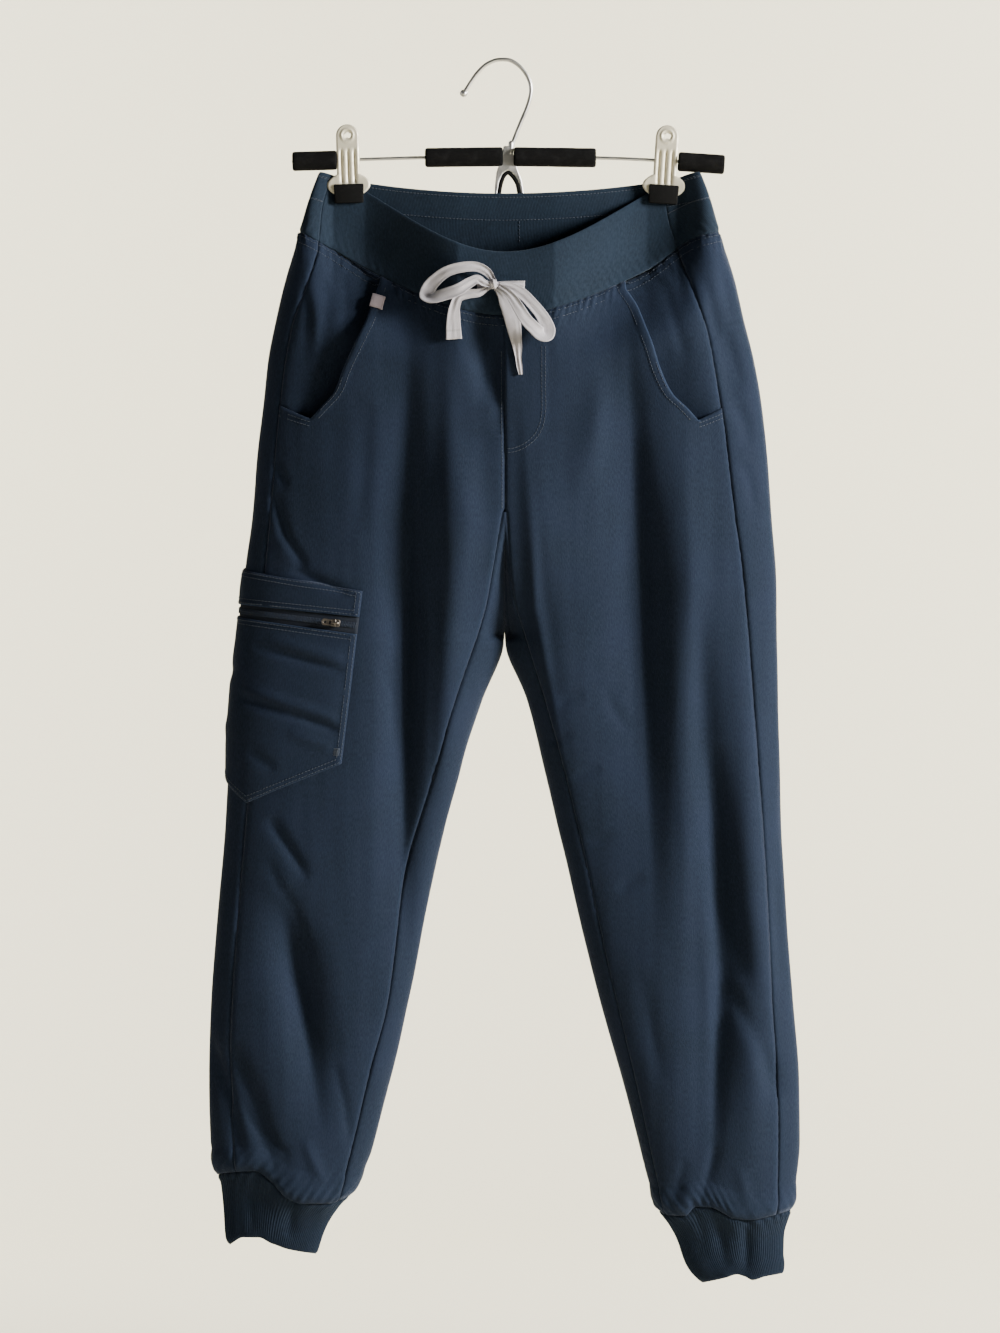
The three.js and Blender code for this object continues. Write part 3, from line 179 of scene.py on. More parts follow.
BACK_FOLDS = (
    (-72, 215, -96, 340, -112, 500, 20, -6),
    (-150, 540, -168, 760, -152, 960, 18, -7),
    (-190, 290, -182, 360, -170, 430, 12, -4),
    (-18, 486, -56, 452, -104, 436, 12, -4),
    (64, 210, 84, 330, 100, 470, 20, -6),
    (138, 510, 158, 740, 190, 930, 18, -7),
    (208, 630, 214, 700, 204, 790, 11, -4),
    (18, 482, 58, 444, 100, 424, 12, -4),
)

# The long drapes of the front, each steeper on one side: "lean" is how much wider it is towards
# the wearer's right than towards the left.
DRAPE_COLUMNS = (*FOLD_COLUMNS, "lean")
DRAPES = table(
    DRAPE_COLUMNS,
    (-86, 215, -84, 520, -89, 820, 16, -16, 0.3),
    (-25, 212, -21, 250, -12, 306, 11, -9, 0),
    (-48, 225, -46, 480, -58, 710, 16, 9, -0.25),
    (16, 280, 28, 480, 66, 680, 15, 5, -0.5),
    (-8, 226, -7, 270, -5, 330, 6, -3, 0),
    (102, 205, 122, 460, 129, 800, 28, -16, 0.45),
    (156, 270, 163, 520, 161, 780, 14, 5, 0),
    (170, 470, 192, 800, 178, 1016, 16, -12, 0.3),
    (203, 470, 220, 780, 216, 1000, 14, 7, -0.2),
    (-200, 726, -180, 820, -160, 950, 14, -9, 0.3),
    (-262, 856, -244, 905, -230, 965, 9, -5, 0.3),
)

# Smaller creases than the solids hold.
FRONT_CREASES = (
    (-178, 190, -172, 222, -176, 262, 4.5, -1.6),
    (-160, 186, -155, 212, -158, 250, 4, -1.2),
    (-141, 182, -138, 205, -140, 238, 4.5, -1.6),
    (-168, 196, -165, 230, -166, 275, 5, 1.2),
    (-202, 352, -197, 364, -190, 375, 3.5, -1.8),
    (-208, 376, -198, 412, -182, 440, 7, 2),
    (-210, 700, -196, 726, -184, 742, 4, -1.4),
    (-186, 738, -176, 768, -170, 790, 4.5, -1.6),
    (-148, 880, -140, 915, -136, 950, 5, -1.6),
    (-212, 932, -200, 952, -188, 962, 4, -1.8),
    (-236, 905, -222, 932, -212, 948, 4, -1.5),
    (-176, 946, -168, 966, -158, 984, 5, 2),
    (-106, 520, -98, 560, -96, 600, 7, -1.2),
    (-120, 300, -122, 360, -130, 420, 9, -1.4),
    (176, 190, 182, 214, 188, 246, 4, -1.6),
    (190, 182, 196, 206, 203, 236, 5, -1.8),
    (204, 300, 212, 318, 214, 340, 6, -2.2),
    (196, 236, 203, 262, 210, 288, 5, -1.8),
    (208, 350, 216, 372, 220, 396, 5, -1.5),
    (140, 196, 148, 224, 158, 262, 5, -1.6),
    (86, 548, 96, 572, 110, 590, 6, -1.2),
    (58, 632, 70, 626, 84, 620, 4, -1.6),
    (48, 566, 56, 560, 70, 556, 4, -1.4),
    (98, 730, 108, 722, 122, 716, 4.5, -1.4),
    (186, 950, 178, 978, 172, 1004, 5, -2),
    (204, 968, 210, 990, 214, 1008, 4.5, 1.6),
    (158, 964, 152, 986, 150, 1004, 5, -1.6),
    (120, 800, 128, 850, 140, 900, 8, -1.4),
    (236, 700, 240, 760, 244, 820, 6, -1.6),
)
BACK_CREASES = (
    (-176, 196, -170, 228, -174, 268, 5, -1.6),
    (-152, 190, -148, 216, -150, 250, 4.5, -1.4),
    (-40, 200, -44, 236, -52, 276, 5, -1.4),
    (-30, 470, -60, 470, -92, 462, 5, -1.8),
    (-120, 510, -128, 548, -130, 590, 7, -1.6),
    (-216, 640, -206, 676, -200, 716, 6, -1.8),
    (-140, 860, -150, 900, -162, 940, 6, -1.8),
    (-206, 930, -194, 956, -184, 972, 5, -1.8),
    (164, 196, 168, 226, 176, 262, 5, -1.6),
    (34, 198, 40, 236, 50, 280, 5, -1.4),
    (30, 470, 58, 466, 88, 456, 5, -1.8),
    (112, 500, 118, 540, 120, 580, 7, -1.6),
    (222, 560, 214, 604, 210, 650, 6, -1.8),
    (146, 880, 156, 920, 168, 958, 6, -1.8),
    (200, 960, 208, 984, 212, 1002, 5, 1.6),
)
CREASES = {
    "front": table(FOLD_COLUMNS, *FRONT_FOLDS, *FRONT_CREASES),
    "back": table(FOLD_COLUMNS, *BACK_FOLDS, *BACK_CREASES),
    "drapes": DRAPES,
}

# The clips' places along the waistband, and how they press its two faces together.
CLIP_XS = (-136.8, 139.5)
NIP = {"half": 2.6, "flat": 14, "inward": 96, "outward": 46, "from": 124, "to": 225}

# Small tools


def clamp01(value):
    return np.clip(value, 0.0, 1.0)


def mix(a, b, t):
    return a + (b - a) * t


def smooth(start, end, value):
    t = clamp01((value - start) / (end - start))
    return t * t * (3 - 2 * t)


def bell(value, middle, width):
    """A smooth hump, 1 at its middle."""
    return np.exp(-(((value - middle) / width) ** 2))


def signed_power(value, power):
    return np.sign(value) * np.abs(value) ** power


def unit(vectors):
    """Vectors on the last axis, made one long."""
    return vectors / np.maximum(np.linalg.norm(vectors, axis=-1, keepdims=True), 1e-12)


def path_reach(places):
    """How far along a run of places each one lies."""
    return np.concatenate([[0], np.cumsum(np.linalg.norm(np.diff(places, axis=0), axis=1))])


def on_path(at, reach, values):
    """The values, three for each place of a path, at distances along it."""
    return np.stack([np.interp(at, reach, values[:, k]) for k in range(3)], axis=-1)


class Curve:
    """A smooth curve through the rows of a table, which keeps between its neighbours."""

    def __init__(self, rows, along, name):
        self.at = rows[along]
        self.value = rows[name]
        rise = np.diff(self.value) / np.diff(self.at)
        early, late = rise[:-1], rise[1:]
        turning = early * late <= 0
        total = np.where(turning, 1.0, early + late)
        inside = np.where(turning, 0.0, 2 * early * late / total)
        self.slope = np.concatenate([rise[:1], inside, rise[-1:]])

    def __call__(self, place):
        at, value, slope = self.at, self.value, self.slope
        p = np.clip(place, at[0], at[-1])
        i = np.clip(np.searchsorted(at, p) - 1, 0, len(at) - 2)
        span = at[i + 1] - at[i]
        t = (p - at[i]) / span
        keep = (1 + 2 * t) * (1 - t) ** 2
        gain = t * t * (3 - 2 * t)
        early = t * (1 - t) ** 2 * span * slope[i]
        late = t * t * (t - 1) * span * slope[i + 1]
        return keep * value[i] + gain * value[i + 1] + early + late


def ripple(x, y, z, size, seed=0.0):
    """Soft noise from -1 to 1 at each place, with lumps about "size" across."""
    places = np.broadcast_arrays(x / size + seed, y / size + seed * 0.7, z / size + 0.31 * seed)
    corner = [np.floor(v).astype(np.int64) for v in places]
    part = [v - c for v, c in zip(places, corner)]
    fade = [t * t * t * (t * (t * 6 - 15) + 10) for t in part]
    total = np.zeros(places[0].shape)
    for steps in np.ndindex(2, 2, 2):
        mixed = sum((c + k) * m for c, k, m in zip(corner, steps, (73856093, 19349663, 83492791)))
        mixed = (mixed ^ (mixed >> 13)) * 1274126177 & 0x3FFFFFFF
        weight = np.prod([f if k else 1 - f for f, k in zip(fade, steps)], axis=0)
        slope = sum(((mixed >> 10 * n & 1023) / 511.5 - 1) * (part[n] - steps[n]) for n in range(3))
        total += weight * slope
    return total * 1.2


# The cloth's surface
#
# A half is one side of the garment. Its level section is a loop: "turn" 0 is the front middle
# (in the leg, the inner fold), 1 the outer fold and 2 the back middle (the inner fold again).
front_depth = Curve(SECTIONS, "drop", "front")
back_depth = Curve(SECTIONS, "drop", "back")
middle_depth = Curve(SECTIONS, "drop", "middle")


class Half:
    """One side of the garment: its letter, its sign along X and its seams."""

    def __init__(self, letter, sign):
        self.letter = letter
        self.sign = sign
        self.name = "right" if sign < 0 else "left"
        self.outer = Curve(SECTIONS, "drop", f"outer{letter}")
        self.inner = Curve(SECTIONS, "drop", f"inner{letter}")
        self.side_seam = Curve(SIDE_SEAMS, "drop", letter)
        self.inseam = Curve(INSEAMS, "drop", letter)
        self.hem_level = CUFF_SEAM_LEVELS[letter]
        self.cuff_seam = Curve(CUFF_SEAMS[letter], "across", "drop")
        self.cuff_hem = Curve(CUFF_HEMS[letter], "across", "drop")


RIGHT = Half("R", -1)
LEFT = Half("L", 1)


def forked(level, turn):
    """How far the closed ring of a leg has taken over from the open half of the torso."""
    start = np.where(turn < 1, FORK_DROP, BACK_FORK_DROP)
    t = clamp01((level - start) / (CROTCH_DROP - start))
    at_crotch = 1 - (1 - t**1.6) ** 0.6
    elsewhere = smooth(*LEG_SHAPE_DROPS, level)
    from_middle = np.where(turn < 1, turn, 2 - turn)
    return mix(at_crotch, elsewhere, smooth(0, 0.5, from_middle))


def sag_front(level, across):
    """How far a front row hangs below its level: most of all between the clips."""
    below = SAG["front"] * (1 - smooth(WAIST_DROP, SAG["front_end"], level))
    most = np.where(level < WAIST_DROP, SAG["band"], below)
    shape = mix(1.5, 1.15, smooth(RIM_DROP, WAIST_DROP, level))
    return most * np.maximum(np.cos(across * np.pi / 2), 0) ** shape


def sag_back(level, across):
    most = SAG["back"] * (1 - smooth(WAIST_DROP, SAG["back_end"], level))
    return most * np.maximum(np.cos(across * np.pi / 2), 0) ** 0.75


def nip_at(x, level):
    """The nip of the clips along the waistband, from 0 (free) to 1 (flat)."""
    most = 0.0
    for clip_x in CLIP_XS:
        reach = np.where(np.abs(x) < abs(clip_x), NIP["inward"], NIP["outward"])
        away = np.abs(x - clip_x)
        even = clamp01((away - NIP["flat"]) / (reach - NIP["flat"]))
        most = np.maximum(most, 1 - mix(even, smooth(NIP["flat"], reach, away), 0.4))
    return most * (1 - smooth(NIP["from"], NIP["to"], level))


def seam_lift(half, level, across):
    """How far the rows round the waist seam run above their levels."""
    most = 3.5 + 3 * smooth(0, 0.5, across)
    if half is LEFT:
        most = most + 5 * bell(across, 0.85, 0.1)
    below = smooth(WAIST_DROP, WAIST_DROP + 45, level)
    return most * smooth(RIM_DROP + 12, WAIST_DROP, level) * (1 - below)


def section(half, level, turn):
    """A place on the section without folds: x out from the middle, y, the drop and the depth."""
    turn = np.where(turn > 2, turn - 2, turn)
    a, b = turn * np.pi / 2, turn * np.pi
    torso_across = signed_power(np.sin(a), 2 / TORSO_ROUNDNESS)
    level = level - seam_lift(half, level, torso_across)
    outer, inner = half.outer(level), half.inner(level)
    leg = forked(level, turn)
    torso_x = outer * torso_across
    torso_in = signed_power(np.cos(a), 2 / TORSO_ROUNDNESS)
    leg_x = (outer + inner) / 2 - (outer - inner) / 2 * signed_power(np.cos(b), 2 / LEG_ROUNDNESS)
    leg_in = signed_power(np.sin(b), 2 / LEG_ROUNDNESS)
    x = np.maximum(mix(torso_x, leg_x, leg), 0.0)
    depth = mix(torso_in, leg_in, leg)
    y = middle_depth(level) - depth * np.where(depth > 0, front_depth(level), back_depth(level))
    flat = np.where(depth >= 0, -1, 1) * np.minimum(NIP["half"], np.abs(depth) * 20)
    y = mix(y, flat, nip_at(half.sign * x, level))
    across = clamp01(x / outer)
    fall = np.where(depth >= 0, sag_front(level, across), sag_back(level, across))
    leg_across = clamp01((outer - x) / (outer - inner))
    bend = smooth(HEM_START_DROP, half.hem_level, level)
    drop = level + fall + bend * (half.cuff_seam(leg_across) - half.hem_level)
    return x, y, drop, depth


def fold_height(x, drop, depth):
    """How far the folds and creases move the cloth out."""
    x, drop, depth = np.broadcast_arrays(x, drop, depth)
    height = np.zeros(x.shape)
    for face, sign in (("front", 1), ("back", -1), ("drapes", 1)):
        rows = CREASES[face]
        for i in range(len(rows["width"])):
            row = {name: values[i] for name, values in rows.items()}
            reach = 3 * row["width"]
            here = (sign * depth >= 0) & (np.sign(row["x1"]) == np.sign(x))
            here &= (drop > row["drop0"] - reach) & (drop < row["drop2"] + reach)
            low, high = sorted((row["x0"], row["x2"]))
            here &= (x > min(low, row["x1"]) - reach) & (x < max(high, row["x1"]) + reach)
            if here.any():
                height[here] += fold_shape(row, x[here], drop[here])
    return height * smooth(0.02, 0.35, np.abs(depth))


def fold_shape(row, x, drop):
    """One fold: a soft ridge or trough along its path, dying out at both ends."""
    first = near_line(row["x0"], row["drop0"], row["x1"], row["drop1"], x, drop)
    second = near_line(row["x1"], row["drop1"], row["x2"], row["drop2"], x, drop)
    nearer = first[0] < second[0]
    away = np.where(nearer, first[0], second[0])
    along = np.where(nearer, first[1] / 2, (1 + second[1]) / 2)
    across = x - (row["x0"] + (row["x2"] - row["x0"]) * along)
    width = row["width"] * (1 - row.get("lean", 0) * np.tanh(across / 6))
    ends = np.sin(np.pi * along) ** mix(0.6, 1.3, smooth(9, 15, row["width"]))
    return row["height"] * np.exp(-((away / width) ** 1.75)) * ends


def near_line(x0, d0, x1, d1, x, drop):
    dx, dd = x1 - x0, d1 - d0
    along = clamp01(((x - x0) * dx + (drop - d0) * dd) / (dx * dx + dd * dd))
    return np.hypot(x - x0 - along * dx, drop - d0 - along * dd), along


def surface(half, level, turn):
    """The cloth's outer face at levels and turns, folds included, in millimetres."""
    level, turn = np.broadcast_arrays(np.asarray(level, float), np.asarray(turn, float))
    step = 0.004
    x, y, drop, depth = section(half, level, turn)
    x0, y0, _, _ = section(half, level, np.maximum(0, turn - step))
    over = (turn + step > 2) & (level < CROTCH_DROP)
    x1, y1, _, _ = section(half, level, np.where(over, 2, turn + step))
    dx, dy = half.sign * (x1 - x0), y1 - y0
    size = np.maximum(np.hypot(dx, dy), 1e-9)
    height = (1 - nip_at(half.sign * x, level)) * fold_height(half.sign * x, drop, depth)
    px = half.sign * x + half.sign * dy * height / size
    py = y - half.sign * dx * height / size
    px = half.sign * np.maximum(0, half.sign * px)
    return np.stack([px, py, -drop], axis=-1)


def surface_frame(half, level, turn):
    """Places on the cloth with the directions that face out of it."""
    level, turn = np.broadcast_arrays(np.asarray(level, float), np.asarray(turn, float))
    last_turn = np.where(level < CROTCH_DROP, 2, 4)
    before = surface(half, level, np.maximum(0, turn - 0.01))
    after = surface(half, level, np.minimum(last_turn, turn + 0.01))
    above = surface(half, np.maximum(RIM_DROP, level - 2), turn)
    below = surface(half, np.minimum(half.hem_level, level + 2), turn)
    normal = unit(np.cross(after - before, below - above)) * -half.sign
    return surface(half, level, turn), normal


def turn_at_x(half, level, x):
    """The turn at which the front of a section lies a distance x from the middle."""
    level, x = np.broadcast_arrays(np.asarray(level, float), np.asarray(x, float))
    low, high = np.zeros(level.shape), np.ones(level.shape)
    for _ in range(36):
        middle = (low + high) / 2
        nearer = section(half, level, middle)[0] < x
        low, high = np.where(nearer, middle, low), np.where(nearer, high, middle)
    return (low + high) / 2


def side_turn(half, level):
    """The turn at which the side seam runs."""
    return turn_at_x(half, level, half.side_seam(level))


def level_at(half, x, drop):
    """The level whose front row passes through a place seen from the front."""
    level = np.asarray(drop, float)
    for _ in range(60):
        level = drop - sag_front(level, clamp01(x / half.outer(level)))
    found, across = level, clamp01(x / half.outer(level))
    for _ in range(20):
        level = found + seam_lift(half, level, across)
    return level


def spread_turns(half, level, start, end, count, bend=130):
    """Turns between two ends, spread by length along the section and closer round its folds."""
    samples = 160
    turns = mix(start, end, np.linspace(0, 1, samples + 1))
    x, y, _, _ = section(half, level, turns)
    lengths = np.hypot(np.diff(x), np.diff(y)) + bend * abs(end - start) / samples
    reach = np.concatenate([[0], np.cumsum(lengths)])
    return np.interp(np.linspace(0, reach[-1], count + 1), reach, turns)


def make_pocket_mouth(half):
    rows = POCKET_MOUTHS[half.letter]
    levels = level_at(half, rows["x"], rows["drop"])
    mouth_x = Curve({"level": levels, "x": rows["x"]}, "level", "x")
    return lambda level: turn_at_x(half, level, mouth_x(level))


POCKET_TURNS = {half.letter: make_pocket_mouth(half) for half in (RIGHT, LEFT)}


def mouth_lift(half, level, turn):
    """The front cloth stands a little open along the hand pocket's mouth."""
    along = clamp01((level - WAIST_DROP) / (POCKET_END_DROP - WAIST_DROP))
    away = (POCKET_TURNS[half.letter](np.minimum(level, POCKET_END_DROP)) - turn) / 0.1
    lift = 4 * np.sin(np.pi * along) ** 0.7 * np.exp(-away * away)
    return np.where(level > POCKET_END_DROP, 0, lift)


def front_place(x, drop, stand):
    """Places seen from the front, moved out of the cloth, with the outward directions."""
    x, drop = np.broadcast_arrays(np.asarray(x, float), np.asarray(drop, float))
    points, normals = np.zeros(x.shape + (3,)), np.zeros(x.shape + (3,))
    for half in (RIGHT, LEFT):
        level = level_at(half, np.abs(x), drop)
        turn = turn_at_x(half, level, np.abs(x))
        at, out = surface_frame(half, level, turn)
        lift = (mouth_lift(half, level, turn) + stand)[..., None]
        here = ((x < 0) == (half.sign < 0))[..., None]
        points = np.where(here, at + out * lift, points)
        normals = np.where(here, out, normals)
    return points, normals


# Meshes


def linked(name, data):
    made = bpy.data.objects.new(name, data)
    bpy.context.scene.collection.objects.link(made)
    return made


def place_object(name, mesh, finish, body=GARMENT):
    """Links a new piece, gives it its finish and lets it ride on a body."""
    piece = linked(name, mesh)
    mesh.materials.append(finish_for(finish))
    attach(piece, body)
    return piece


def mesh_from(name, points_mm, faces):
    mesh = bpy.data.meshes.new(name)
    mesh.from_pydata((np.asarray(points_mm) * MM).tolist(), [], faces)
    mesh.polygons.foreach_set("use_smooth", [True] * len(mesh.polygons))
    mesh.update()
    return mesh


def add_values(mesh, name, values):
    """A value, or three, for each vertex, for its material to read."""
    kind = "FLOAT" if values.ndim == 1 else "FLOAT_VECTOR"
    attribute = mesh.attributes.new(name, kind, "POINT")
    field = "value" if values.ndim == 1 else "vector"
    attribute.data.foreach_set(field, np.ascontiguousarray(values, np.float32).ravel())


def grid_cells(ids, is_cloth=None):
    """The four-sided cells between a grid's vertices."""
    cells = np.stack([ids[:-1, :-1], ids[1:, :-1], ids[1:, 1:], ids[:-1, 1:]], axis=-1)
    cells = cells.reshape(-1, 4)
    return cells if is_cloth is None else cells[np.asarray(is_cloth).ravel()]


def plain_cells(shape, is_cloth=None):
    """The cells of a grid whose vertices are numbered row by row."""
    return grid_cells(np.arange(math.prod(shape)).reshape(shape), is_cloth)


def open_edges(cells):
    """Directed edges that only one cell has."""
    edges = np.concatenate([cells[:, [k, (k + 1) % 4]] for k in range(4)])
    size = cells.max() + 1
    there = edges[:, 0] * size + edges[:, 1]
    back = edges[:, 1] * size + edges[:, 0]
    return edges[~np.isin(back, there)]


def shell_mesh(name, outer, normals, wall, cells, cut, wear=None):
    """A closed shell: an outer face, its copy a wall inside it, and a rim along open edges.

    "cut" holds each vertex's place in the flat cloth, in millimetres.
    """
    used, inverse = np.unique(cells, return_inverse=True)
    cells = inverse.reshape(cells.shape)
    outer, normals, cut = (v.reshape(-1, v.shape[-1])[used] for v in (outer, normals, cut))
    count = len(used)
    rim = open_edges(cells)
    inner = outer - normals * np.reshape(wall, (-1, 1))
    faces = np.concatenate([
        cells,
        cells[:, ::-1] + count,
        np.stack([rim[:, 1], rim[:, 0], rim[:, 0] + count, rim[:, 1] + count], axis=1),
    ])
    points = np.concatenate([outer, inner])
    first = points[faces[0]]
    facing = np.dot(np.cross(first[1] - first[0], first[2] - first[0]), normals[cells[0, 0]])
    if facing < 0:
        faces = faces[:, ::-1]
    mesh = mesh_from(name, points, faces.tolist())
    add_values(mesh, "cut", np.concatenate([cut, cut]) * MM)
    worn_and_shaded = np.zeros(count) if wear is None else wear.ravel()[used]
    add_values(mesh, "wear", np.concatenate([worn_and_shaded, worn_and_shaded]))
    return mesh


def flat_cut(points):
    """Lengths across (from the first column) and down (from the first row) on a grid."""
    across = np.linalg.norm(np.diff(points, axis=1), axis=-1)
    across = np.concatenate([np.zeros((len(points), 1)), np.cumsum(across, axis=1)], axis=1)
    down = np.linalg.norm(np.diff(points, axis=0), axis=-1).mean(axis=1)
    down = np.concatenate([[0], np.cumsum(down)])
    middle = across.mean(axis=1, keepdims=True).max()
    across = across - across[:, -1:] / 2 + middle / 2
    return np.stack([across, np.broadcast_to(down[:, None], across.shape), across * 0], axis=-1)


def edge_lengths(points):
    """How far each grid place lies from its row's first and last column."""
    across = np.linalg.norm(np.diff(points, axis=1), axis=-1)
    from_first = np.concatenate([np.zeros((len(points), 1)), np.cumsum(across, axis=1)], axis=1)
    return from_first, from_first[:, -1:] - from_first


# Settings that a user would change


def colour_property(name, description, default):
    return FloatVectorProperty(
        name=name, description=description, default=default, size=3, min=0, max=1, subtype="COLOR",
    )


def length_property(name, description, default):
    return FloatProperty(
        name=name, description=description, default=default, min=0, unit="LENGTH",
        subtype="DISTANCE", precision=5,
    )


def power_property(name, description, default):
    return FloatProperty(name=name, description=description, default=default, min=0, unit="POWER")


class JoggersClothSettings(bpy.types.PropertyGroup):
    """Colours and fine sizes of the cloth, its sewing and its drawcord."""

    twill: colour_property("Twill", "Legs and pockets", (0.0056, 0.0112, 0.0250))
    band: colour_property("Waistband", "Knit band round the waist", (0.0041, 0.0104, 0.0206))
    rib: colour_property("Cuffs", "Rib knit at the ankles", (0.0028, 0.0078, 0.0182))
    thread: colour_property("Thread", "Topstitching", (0.0135, 0.0235, 0.0425))
    cord: colour_property("Drawcord", "Flat woven tape", (0.50, 0.475, 0.50))
    label: colour_property("Label", "Small square sewn at the pocket", (0.36, 0.30, 0.32))
    zip_tape: colour_property("Zip tape", "Woven tape of the zip", (0.0042, 0.0080, 0.0170))
    zip_metal: colour_property("Zip metal", "Slider and pull", (0.17, 0.15, 0.13))
    weave: length_property("Weave", "Distance between the twill's lines", 0.0008)
    stitch: length_property("Stitch", "Length of one topstitch with its gap", 0.0031)


class JoggersHangerSettings(bpy.types.PropertyGroup):
    """Finishes of the clip hanger."""

    wire: colour_property("Wire", "Polished steel wire", (0.66, 0.65, 0.63))
    clip: colour_property("Clips", "Plated pressed steel", (0.66, 0.61, 0.47))
    foam: colour_property("Sleeves", "Foam round the bar", (0.0035, 0.0035, 0.0035))
    rubber: colour_property("Boots", "Rubber on the clips' tips", (0.004, 0.004, 0.004))


class JoggersStageSettings(bpy.types.PropertyGroup):
    """The floor, backdrop, light and camera."""

    backdrop: colour_property("Backdrop", "Floor and wall", (0.83, 0.785, 0.63))
    key_power: power_property("Key light", "Large soft light to the front and the right", 520)
    fill_power: power_property("Fill light", "Soft light to the front and the left", 14)
    wall_power: power_property("Wall lights", "Soft lights that shine on the backdrop alone", 330)
    back_power: power_property("Back light", "Large soft light behind the garment", 150)
    sky: FloatProperty(
        name="Sky", description="Brightness of the even light all round", default=0.06, min=0,
    )
    distance: length_property("Distance", "Camera to the garment's middle", 6.0)


# Finishes
WAVE_PERIOD = 2 * math.pi / 20  # one wave of the wave texture at scale 1


class Finish:
    """A material and short ways of adding nodes to it."""

    def __init__(self, name):
        self.material = bpy.data.materials.new(name)
        self.material.use_nodes = True
        self.tree = self.material.node_tree
        self.shader = self.tree.nodes["Principled BSDF"]

    def node(self, kind, settings=None, **inputs):
        made = self.tree.nodes.new(kind)
        for key, value in (settings or {}).items():
            setattr(made, key, value)
        self.fill(made, inputs)
        return made

    def fill(self, made, inputs):
        for key, value in inputs.items():
            self.give(made.inputs[key.replace("_", " ")], value)

    def give(self, socket, value):
        """Links a socket to another node's output, or sets its value."""
        if isinstance(value, bpy.types.NodeSocket):
            self.tree.links.new(value, socket)
        elif socket.type == "RGBA" and len(value) == 3:
            socket.default_value = (*value, 1)
        else:
            socket.default_value = value

    def shade(self, **inputs):
        """Fills the shader's own sockets and gives the finished material."""
        self.fill(self.shader, inputs)
        return self.material

    def places(self):
        return self.node("ShaderNodeAttribute", {"attribute_name": "cut"}).outputs["Vector"]

    # Per-vertex values that lighten the cloth where it is worn, and darken the tapes as painted shade
    # where they are bunched.
    def wear(self):
        return self.node("ShaderNodeAttribute", {"attribute_name": "wear"}).outputs["Fac"]

    def object_places(self):
        return self.node("ShaderNodeTexCoord").outputs["Object"]

    def stretched(self, places, scale=(1, 1, 1), turn=0.0):
        made = self.node("ShaderNodeMapping", Vector=places, Scale=scale, Rotation=(0, 0, turn))
        return made.outputs["Vector"]

    def noise(self, places, size, detail=2.0, rough=0.5):
        made = self.node("ShaderNodeTexNoise", Vector=places, Scale=1 / size, Detail=detail,
                         Roughness=rough)
        return made.outputs["Fac"]

    def waves(self, places, pitch, distortion=0.0, detail_size=1.0):
        made = self.node(
            "ShaderNodeTexWave", {"wave_type": "BANDS", "bands_direction": "X"}, Vector=places,
            Scale=WAVE_PERIOD / pitch, Distortion=distortion, Detail_Scale=detail_size,
        )
        return made.outputs["Fac"]

    def math(self, operation, a, b):
        made = self.node("ShaderNodeMath", {"operation": operation})
        for socket, value in zip(made.inputs, (a, b)):
            self.give(socket, value)
        return made.outputs["Value"]

    def between(self, value, low, high, to_low=0.0, to_high=1.0):
        made = self.node("ShaderNodeMapRange", Value=value, From_Min=low, From_Max=high,
                         To_Min=to_low, To_Max=to_high)
        return made.outputs["Result"]

    def blend(self, share, first, second):
        made = self.node("ShaderNodeMix", {"data_type": "RGBA"})
        sockets = {s.identifier: s for s in made.inputs}
        for name, value in (("Factor_Float", share), ("A_Color", first), ("B_Color", second)):
            self.give(sockets[name], value)
        return next(s for s in made.outputs if s.identifier == "Result_Color")

    def bump(self, height, distance, strength):
        made = self.node("ShaderNodeBump", Height=height, Distance=distance, Strength=strength)
        return made.outputs["Normal"]


def tint(colour, factor, shift=(1, 1, 1)):
    """A colour made lighter or darker, and warmer or colder."""
    return tuple(min(1.0, c * factor * s) for c, s in zip(colour, shift))


def twill_finish(name, colour, pitch):
    """Stretch twill: fine diagonal lines, slubs down the cloth and a soft, faintly purple fade."""
    f = Finish(name)
    cut = f.places()
    diagonal = f.waves(f.stretched(cut, turn=math.radians(62)), pitch, 0.6, 3)
    threads = f.waves(f.stretched(cut, turn=math.radians(-4)), pitch * 0.62)
    slubs = f.noise(f.stretched(cut, (1, 0.3, 1)), 0.0011, 3, 0.6)
    clouds = f.noise(cut, 0.055, 3, 0.55)
    grain = f.noise(cut, 0.0011, 1)
    base = f.blend(f.between(clouds, 0.35, 0.68), tint(colour, 0.94, (0.94, 1.02, 0.98)),
                   tint(colour, 1.14, (1.1, 1, 1.05)))
    streaked = f.blend(f.between(slubs, 0.36, 0.66, 0, 0.6), base, tint(colour, 1.75))
    lined = f.blend(f.between(diagonal, 0.2, 1, 0, 0.36), streaked, tint(colour, 0.42))
    worn_and_shaded = f.blend(f.math("MULTIPLY", f.wear(), f.between(grain, 0.3, 0.7, 0.3, 1)),
                   lined, tint(colour, 2.9, (1.04, 1, 0.94)))
    height = f.math("ADD", f.math("MULTIPLY", diagonal, 0.5), f.math("MULTIPLY", threads, 0.3))
    height = f.math("ADD", height, f.math("MULTIPLY", slubs, 1.2))
    return f.shade(
        Base_Color=worn_and_shaded, Roughness=f.between(slubs, 0.3, 0.7, 0.88, 0.74),
        Normal=f.bump(height, 0.00022, 0.7), Specular_IOR_Level=0.16,
        Sheen_Weight=0.16, Sheen_Roughness=0.4, Sheen_Tint=(0.55, 0.62, 0.80),
    )


